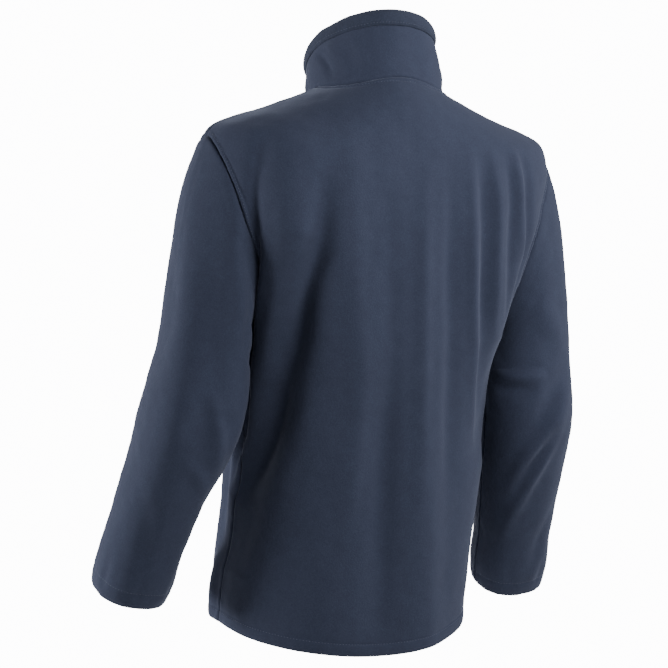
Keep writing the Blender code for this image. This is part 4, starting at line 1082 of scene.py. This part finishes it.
def deselectAll():
    if bpy.context.mode != "OBJECT":
        bpy.ops.object.mode_set(mode="OBJECT")
    bpy.ops.object.select_all(action="DESELECT")


def addBlock(name, size, place=(0, 0, 0)):
    deselectAll()
    bpy.ops.mesh.primitive_cube_add(size=1)
    block = bpy.context.object
    block.name = name
    bpy.ops.transform.resize(value=size)
    bpy.ops.transform.translate(value=place)
    bpy.ops.object.transform_apply(location=True, rotation=True, scale=True)
    return block


def makeActive(piece):
    deselectAll()
    piece.select_set(True)
    bpy.context.view_layer.objects.active = piece


# Leaves edit mode on with the chosen parts selected. The test takes a part's middle, and an edge's direction.
def selectParts(piece, kind, test):
    makeActive(piece)
    bpy.ops.object.mode_set(mode="EDIT")
    bpy.ops.mesh.select_mode(type=kind)
    bpy.ops.mesh.select_all(action="DESELECT")
    bpy.ops.object.mode_set(mode="OBJECT")
    vertices = piece.data.vertices
    if kind == "EDGE":
        for edge in piece.data.edges:
            start, end = (vertices[index].co for index in edge.vertices)
            edge.select = test((start + end) / 2, (end - start).normalized())
    else:
        for vertex in vertices:
            vertex.select = test(vertex.co)
    bpy.ops.object.mode_set(mode="EDIT")


def resizePart(piece, size, test):
    selectParts(piece, "VERT", test)
    bpy.ops.transform.resize(value=size)
    bpy.ops.object.mode_set(mode="OBJECT")


def movePart(piece, shift, test):
    selectParts(piece, "VERT", test)
    bpy.ops.transform.translate(value=shift)
    bpy.ops.object.mode_set(mode="OBJECT")


# Rounds the corners that a piece shows from the front, on one half of its height or on both.
def roundCorners(piece, radius, segments, keep=lambda z: True):
    selectParts(piece, "EDGE", lambda middle, way: abs(way.y) > 0.9 and keep(middle.z))
    bpy.ops.mesh.bevel(offset=radius, segments=segments, affect="EDGES")
    bpy.ops.object.mode_set(mode="OBJECT")


def applyBevel(piece, width, segments):
    makeActive(piece)
    bevel = piece.modifiers.new("bevel", "BEVEL")
    bevel.width, bevel.segments = width, segments
    bevel.limit_method, bevel.angle_limit = "ANGLE", math.radians(35)
    bpy.ops.object.modifier_apply(modifier=bevel.name)


def cutAway(piece, cutter):
    makeActive(piece)
    cut = piece.modifiers.new("cut", "BOOLEAN")
    cut.operation, cut.object, cut.solver = "DIFFERENCE", cutter, "EXACT"
    bpy.ops.object.modifier_apply(modifier=cut.name)
    bpy.data.objects.remove(cutter)


def joinBlocks(piece, others):
    makeActive(piece)
    for other in others:
        other.select_set(True)
    bpy.ops.object.join()


def smoothByAngle(piece, degrees=35):
    makeActive(piece)
    bpy.ops.object.shade_smooth_by_angle(angle=math.radians(degrees))


# Points and faces of a shape that is laid many times. The object itself goes.
def takeShape(piece):
    points = np.array([vertex.co[:] for vertex in piece.data.vertices])
    faces = [list(face.vertices) for face in piece.data.polygons]
    bpy.data.objects.remove(piece)
    return points, faces


def finishHard(piece, material, body="jacket"):
    piece.data.materials.clear()
    piece.data.materials.append(material)
    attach(piece, body)


# From upright and facing along +Y to its place on the zip
def ontoZip(belowTop, out):
    place, forward, upward, depth = (values[0] for values in alongZip(np.array([belowTop])))
    origin = place + forward * (out - depth)
    turned = Matrix((Vector((-1, 0, 0)), Vector(forward), Vector(upward))).transposed().to_4x4()
    return Matrix.Translation(Vector(origin)) @ turned


boxValues = {
    "size": (0.0090, 0.0032, 0.0090),
    "lowerCorner": 0.0014,
    "upperCorner": 0.0006,
    "groove": (0.0006, 0.0012, 0.0062),
    "groovePlace": (0.0011, 0.0032, 0.0017),
    "rounding": 0.00022,
}


def makeBox():
    values = boxValues
    _, thickness, length = values["size"]
    box = addBlock("zip_box_moulding", values["size"], (0, thickness / 2, 0))
    roundCorners(box, values["lowerCorner"], 4, lambda z: z < 0)
    roundCorners(box, values["upperCorner"], 2, lambda z: z > 0)
    cutAway(box, addBlock("groove", values["groove"], values["groovePlace"]))
    applyBevel(box, values["rounding"], 2)
    smoothByAngle(box)
    box.data.transform(ontoZip(zipLine[0][-1] - length / 2, zipValues["gap"]))
    finishHard(box, zipPlastic)
    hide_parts("zip_box")


toothValues = {
    "firstBelowTop": 0.008,
    "lastAboveBox": 0.001,
    "pitch": 0.0025,
    "height": 0.00105,
    "pastMiddle": 0.0004,
    "besideCad": 0.0001,     # how much thinner it is than the chain's solid
    "head": (1, 0.8, 1.35),  # the head's size as shares of the foot's
    "rounding": 0.00025,
}


# One tooth of the left-hand row, with its head across the middle
def makeTooth():
    values = toothValues
    thickness = zipValues["chainThickness"]
    length = zipValues["chainHalfWidth"] + values["pastMiddle"]
    size = (length, thickness - values["besideCad"], values["height"])
    tooth = addBlock("tooth", size, (values["pastMiddle"] - length / 2, thickness / 2, 0))
    resizePart(tooth, values["head"], lambda place: place.x > 0)
    applyBevel(tooth, values["rounding"], 1)
    return takeShape(tooth)


def makeTeeth():
    values = toothValues
    shape, shapeFaces = makeTooth()
    last = zipLine[0][-1] - boxValues["size"][2] - values["lastAboveBox"]
    count = int((last - values["firstBelowTop"]) / values["pitch"])
    points, faces = [], []
    for index in range(2 * count):
        left = index % 2 == 0
        belowTop = values["firstBelowTop"] + index * values["pitch"] / 2
        matrix = np.array(ontoZip(belowTop, zipValues["gap"]))
        own = shape * (-1, 1, 1) if left else shape
        start = len(points) * len(shape)
        points.append(own @ matrix[:3, :3].T + matrix[:3, 3])
        faces += [[start + corner for corner in (face[::-1] if left else face)] for face in shapeFaces]
    teeth = linkPiece("zip_teeth", np.concatenate(points), faces, zipPlastic)
    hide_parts("zip_chain")


sliderValues = {
    "belowTop": 0.030,
    "plate": (0.0104, 0.0014, 0.0110),
    "lowerWidth": 0.846,     # as a share of the upper width
    "corner": 0.0019,
    "rail": (0.0011, 0.0029, 0.00946),
    "railReach": 0.0046,
    "railBehind": 0.00025,
    "railLean": 0.0008,
    "bridgeRadius": 0.0029,
    "bridgeWire": 0.00055,
    "bridgeShape": (1.6, 1, 1.12),
    "bridgeCut": -0.0003,
    "bridgeOut": 0.0012,
    "rounding": 0.00028,
}


def makeSlider():
    values = sliderValues
    plate = addBlock("zip_slider_body", values["plate"], (0, values["plate"][1] / 2, 0))
    resizePart(plate, (values["lowerWidth"], 1, 1), lambda place: place.z < 0)
    roundCorners(plate, values["corner"], 5)
    rails = []
    for side in (-1, 1):
        rail = addBlock("rail", values["rail"], (side * values["railReach"], -values["railBehind"], 0))
        movePart(rail, (side * -values["railLean"], 0, 0), lambda place: place.z < 0)
        rails.append(rail)
    deselectAll()
    bpy.ops.mesh.primitive_torus_add(
        rotation=(0, math.pi / 2, 0), major_radius=values["bridgeRadius"], minor_radius=values["bridgeWire"],
        major_segments=28, minor_segments=10)
    bridge = bpy.context.object
    bpy.ops.transform.resize(value=values["bridgeShape"])
    bpy.ops.object.transform_apply(location=True, rotation=True, scale=True)
    selectParts(bridge, "VERT", lambda place: True)
    bpy.ops.mesh.bisect(
        plane_co=(0, values["bridgeCut"], 0), plane_no=(0, 1, 0), use_fill=True, clear_inner=True)
    bpy.ops.object.mode_set(mode="OBJECT")
    movePart(bridge, (0, values["bridgeOut"], 0), lambda place: True)
    joinBlocks(plate, rails)
    applyBevel(plate, values["rounding"], 3)
    joinBlocks(plate, [bridge])
    smoothByAngle(plate)
    outOfTape = zipValues["chainThickness"] + 2 * zipValues["gap"]
    plate.data.transform(ontoZip(values["belowTop"], outOfTape))
    finishHard(plate, zipMetal)
    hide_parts("zip_slider")


pullValues = {
    "size": (0.0070, 0.0012, 0.0306),
    "barUp": 0.0006,         # from the swing's axis to the tab's upper edge
    "lowerWidth": 0.84,      # as a share of the upper width
    "lowerCorner": 0.0024,
    "upperCorner": 0.0012,
    "eye": (0.0042, 0.0040, 0.0040),
    "eyeDown": 0.0026,
    "recess": (0.0034, 0.0006, 0.0190),
    "recessDown": 0.0175,
    "rounding": 0.00018,
}


# The tab hangs from a bar at its top, and both faces have a long shallow recess.
def makePull():
    values = pullValues
    _, thickness, length = values["size"]
    middle = values["barUp"] - length / 2
    pull = addBlock("zip_pull_tab", values["size"], (0, 0, middle))
    resizePart(pull, (values["lowerWidth"], 1, 1), lambda place: place.z < middle)
    roundCorners(pull, values["lowerCorner"], 6, lambda z: z < middle)
    roundCorners(pull, values["upperCorner"], 4, lambda z: z > middle)
    eye = addBlock("eye", values["eye"], (0, 0, -values["eyeDown"]))
    roundCorners(eye, values["upperCorner"], 4)
    cutAway(pull, eye)
    for side in (-1, 1):
        place = (0, side * thickness / 2, -values["recessDown"])
        recess = addBlock("recess", values["recess"], place)
        roundCorners(recess, values["upperCorner"], 4)
        cutAway(pull, recess)
    applyBevel(pull, values["rounding"], 2)
    smoothByAngle(pull)
    low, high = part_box("zip_pull")
    axis = Vector((0, (low.y + high.y) / 2, high.z - values["barUp"]))
    pull.data.transform(Matrix.Translation(axis))
    finishHard(pull, zipMetal, "pull_tab")
    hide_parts("zip_pull")


makeTeeth()
makeBox()
makeSlider()
makePull()
print("jacket: zip made")

stitchValues = {
    "length": 0.0030,
    "thickness": 0.0006,     # about twice a real thread, so that the rows show
    "pitch": 0.0038,
    "sunk": 0.00005,
    "above": 0.001,          # the rows' lines above the cloth, before each stitch is laid on it
    "bentFrom": 0.4,         # shares of the length and the thickness: where the ends bend down, and how far
    "bentDown": 0.6,
    # How far a row is from the edge that it runs along
    "fromSeam": 0.0063,
    "fromNeck": 0.0062,
    "fromHem": 0.0152,
    "fromCuff": 0.0202,
}


def makeStitch():
    values = stitchValues
    length, thickness = values["length"], values["thickness"]
    deselectAll()
    bpy.ops.mesh.primitive_uv_sphere_add(segments=6, ring_count=5, radius=0.5, rotation=(0, math.pi / 2, 0))
    stitch = bpy.context.object
    bpy.ops.transform.resize(value=(length, thickness, thickness))
    bpy.ops.object.transform_apply(location=True, rotation=True, scale=True)
    shift = (0, 0, -thickness * values["bentDown"])
    movePart(stitch, shift, lambda place: abs(place.x) > length * values["bentFrom"])
    return takeShape(stitch)


stitchPoints, stitchFaces = makeStitch()


# A row of stitches along each line, laid on the face of the piece that the line runs beside.
def sewRows(name, rows):
    values = stitchValues
    points, faces = [], []
    for piece, line in rows:
        mesh = piece.data
        cloth = BVHTree.FromPolygons([v.co for v in mesh.vertices], [p.vertices for p in mesh.polygons])
        travelled = lengthsAlong(line)
        middles = np.arange(values["pitch"] / 2, travelled[-1], values["pitch"])
        ends = (pointsAt(middles + shift, travelled, line) for shift in (-0.001, 0.001))
        for start, end in zip(*ends):
            place, normal, _, _ = cloth.find_nearest(Vector((start + end) / 2))
            way = Vector(end - start)
            way = (way - normal * way.dot(normal)).normalized()
            turned = np.array([way, normal.cross(way), normal])
            first = len(points) * len(stitchPoints)
            points.append(stitchPoints @ turned + np.array(place - normal * values["sunk"]))
            faces += [[first + corner for corner in face] for face in stitchFaces]
    linkPiece(name, np.concatenate(points), faces, thread).data.shade_smooth()


def armholeRow(side, start, end):
    turns = np.linspace(start, end, 120)
    lifted = torsoNormal(*armhole(side, turns)) * stitchValues["above"]
    return armholePoint(side, turns) + armholeIntoBody(side, turns) * stitchValues["fromSeam"] + lifted


def torsoRow(angles, drops):
    return torsoCloth(angles, drops) + torsoNormal(angles, drops) * stitchValues["above"]


def acrossRow(start, end, drop):
    angles = np.linspace(start, end, 160)
    return torsoRow(angles, np.full_like(angles, drop))


def zipEdgeRow(side):
    drops = np.linspace(0.004, torsoValues["hemDrop"] - 0.002, 160)
    return torsoRow(side * zipEdgeAngle(drops, zipRowReach) - math.pi / 2, drops)


def collarEdgeRow(side):
    low = zipEdgeAngle(np.zeros(1), zipRowReach)
    top = np.array([zipRowReach / collarValues["halfDepth"]])
    start = -math.pi / 2 if side > 0 else 1.5 * math.pi
    parts = np.linspace(0.03, collarValues["bandStart"] - 0.02, 30)
    return np.array([collarForm(start + side * low, start + side * top, part)[0] for part in parts])


def cuffRow(side):
    turns = np.linspace(math.pi, 3 * math.pi, 160)[None]
    reach = np.full((1, 1), cuffReach[side] - stitchValues["fromCuff"])
    points = sleeveForm(side, turns, reach) + sleeveNormal(side, turns, reach) * stitchValues["above"]
    return points[0] * np.array([side, 1, 1])


zipRowReach = torsoValues["frontEdge"] + stitchValues["fromSeam"]
hemRowDrop = torsoValues["hemDrop"] - stitchValues["fromHem"]
neckRowDrop = stitchValues["fromNeck"]
seamAngle = torsoValues["shoulderSeam"]
rowEnd = torsoValues["frontEdge"] + 0.001
neckZip = float(zipEdgeAngle(np.zeros(1), rowEnd)[0])
hemZip = float(zipEdgeAngle(np.full(1, hemRowDrop), rowEnd)[0])
half = math.pi / 2
seamGap = 0.03    # radians of the armhole left without stitches at the shoulder and the underarm
backTurns = (seamGap, math.pi - seamGap)
frontTurns = (math.pi + seamGap, 2 * math.pi - seamGap)
sewRows("armhole_stitches", (
    (backCloth, armholeRow(1, *backTurns)),
    (backCloth, armholeRow(-1, *backTurns)),
    (frontLeftCloth, armholeRow(1, *frontTurns)),
    (frontRightCloth, armholeRow(-1, *frontTurns)),
))
sewRows("neck_stitches", (
    (backCloth, acrossRow(seamAngle, math.pi - seamAngle, neckRowDrop)),
    (frontLeftCloth, acrossRow(neckZip - half, seamAngle, neckRowDrop)),
    (frontRightCloth, acrossRow(-math.pi - seamAngle, -half - neckZip, neckRowDrop)),
    (bandCloth, bandStitchLine),
))
sewRows("hem_stitches", (
    (backCloth, acrossRow(0, math.pi, hemRowDrop)),
    (frontLeftCloth, acrossRow(hemZip - half, 0, hemRowDrop)),
    (frontRightCloth, acrossRow(-math.pi, -half - hemZip, hemRowDrop)),
))
sewRows("cuff_stitches", ((sleeveLeftCloth, cuffRow(1)), (sleeveRightCloth, cuffRow(-1))))
sewRows("zip_stitches", (
    (frontLeftCloth, zipEdgeRow(1)),
    (frontRightCloth, zipEdgeRow(-1)),
    (collarCloth, collarEdgeRow(1)),
    (collarCloth, collarEdgeRow(-1)),
))
print("jacket: stitches sewn")

studioValues = {
    "floorHeight": -1.45,
    "floorSize": 3,
    "floor": "#fbfbfa",
    "backdrop": 14.0,        # brightness of the surroundings behind the jacket, and elsewhere
    "around": 0.16,
    "backdropColor": "#fcfcff",
    "backdropDegrees": (16, 24),    # from the view's middle to where the backdrop's fading starts and ends
    "lampSize": 0.9,
    # Name, place, power in W, and the point it shines at
    "lamps": (
        ("key softbox", (-2.36, 0.63, 0.59), 46, (0, 0, -0.30)),
        ("upper back softbox", (-0.29, 1.14, 0.41), 21, (0, 0.05, 0)),
        ("left rim softbox", (2.44, -0.89, -0.30), 84, (0, 0, -0.30)),
        ("front rim softbox", (1.30, -2.25, -0.30), 12, (0, 0, -0.30)),
    ),
}


def makeStudio(values):
    deselectAll()
    bpy.ops.mesh.primitive_plane_add(size=values["floorSize"], location=(0, 0, values["floorHeight"]))
    floor = bpy.context.object
    floor.name = "floor"
    material, _, shader = startMaterial("matt white paper")
    shader.inputs["Base Color"].default_value = fromHex(values["floor"])
    shader.inputs["Roughness"].default_value = 0.9
    floor.data.materials.append(material)

    world = bpy.data.worlds.new("studio")
    world.use_nodes = True
    tree = world.node_tree
    way = addNode(tree, "ShaderNodeTexCoord", {}, {}).outputs["Generated"]
    behind = addNode(tree, "ShaderNodeVectorMath", {"operation": "DOT_PRODUCT"}, {
        0: way, 1: cameraValues["forward"]})
    inner, outer = (math.cos(math.radians(degrees)) for degrees in values["backdropDegrees"])
    brightness = addNode(tree, "ShaderNodeMapRange", {"interpolation_type": "SMOOTHSTEP"}, {
        "Value": behind.outputs["Value"], "From Min": outer, "From Max": inner,
        "To Min": values["around"], "To Max": values["backdrop"]})
    background = tree.nodes["Background"]
    background.inputs["Color"].default_value = fromHex(values["backdropColor"])
    tree.links.new(brightness.outputs[0], background.inputs["Strength"])
    scene.world = world

    for name, place, power, target in values["lamps"]:
        data = bpy.data.lights.new(name, "AREA")
        data.shape = "DISK"
        data.size = values["lampSize"]
        data.energy = power
        lamp = bpy.data.objects.new(name, data)
        lamp.location = place
        lamp.rotation_euler = (Vector(target) - Vector(place)).to_track_quat("-Z", "Y").to_euler()
        scene.collection.objects.link(lamp)


makeStudio(studioValues)
print("jacket: studio set")
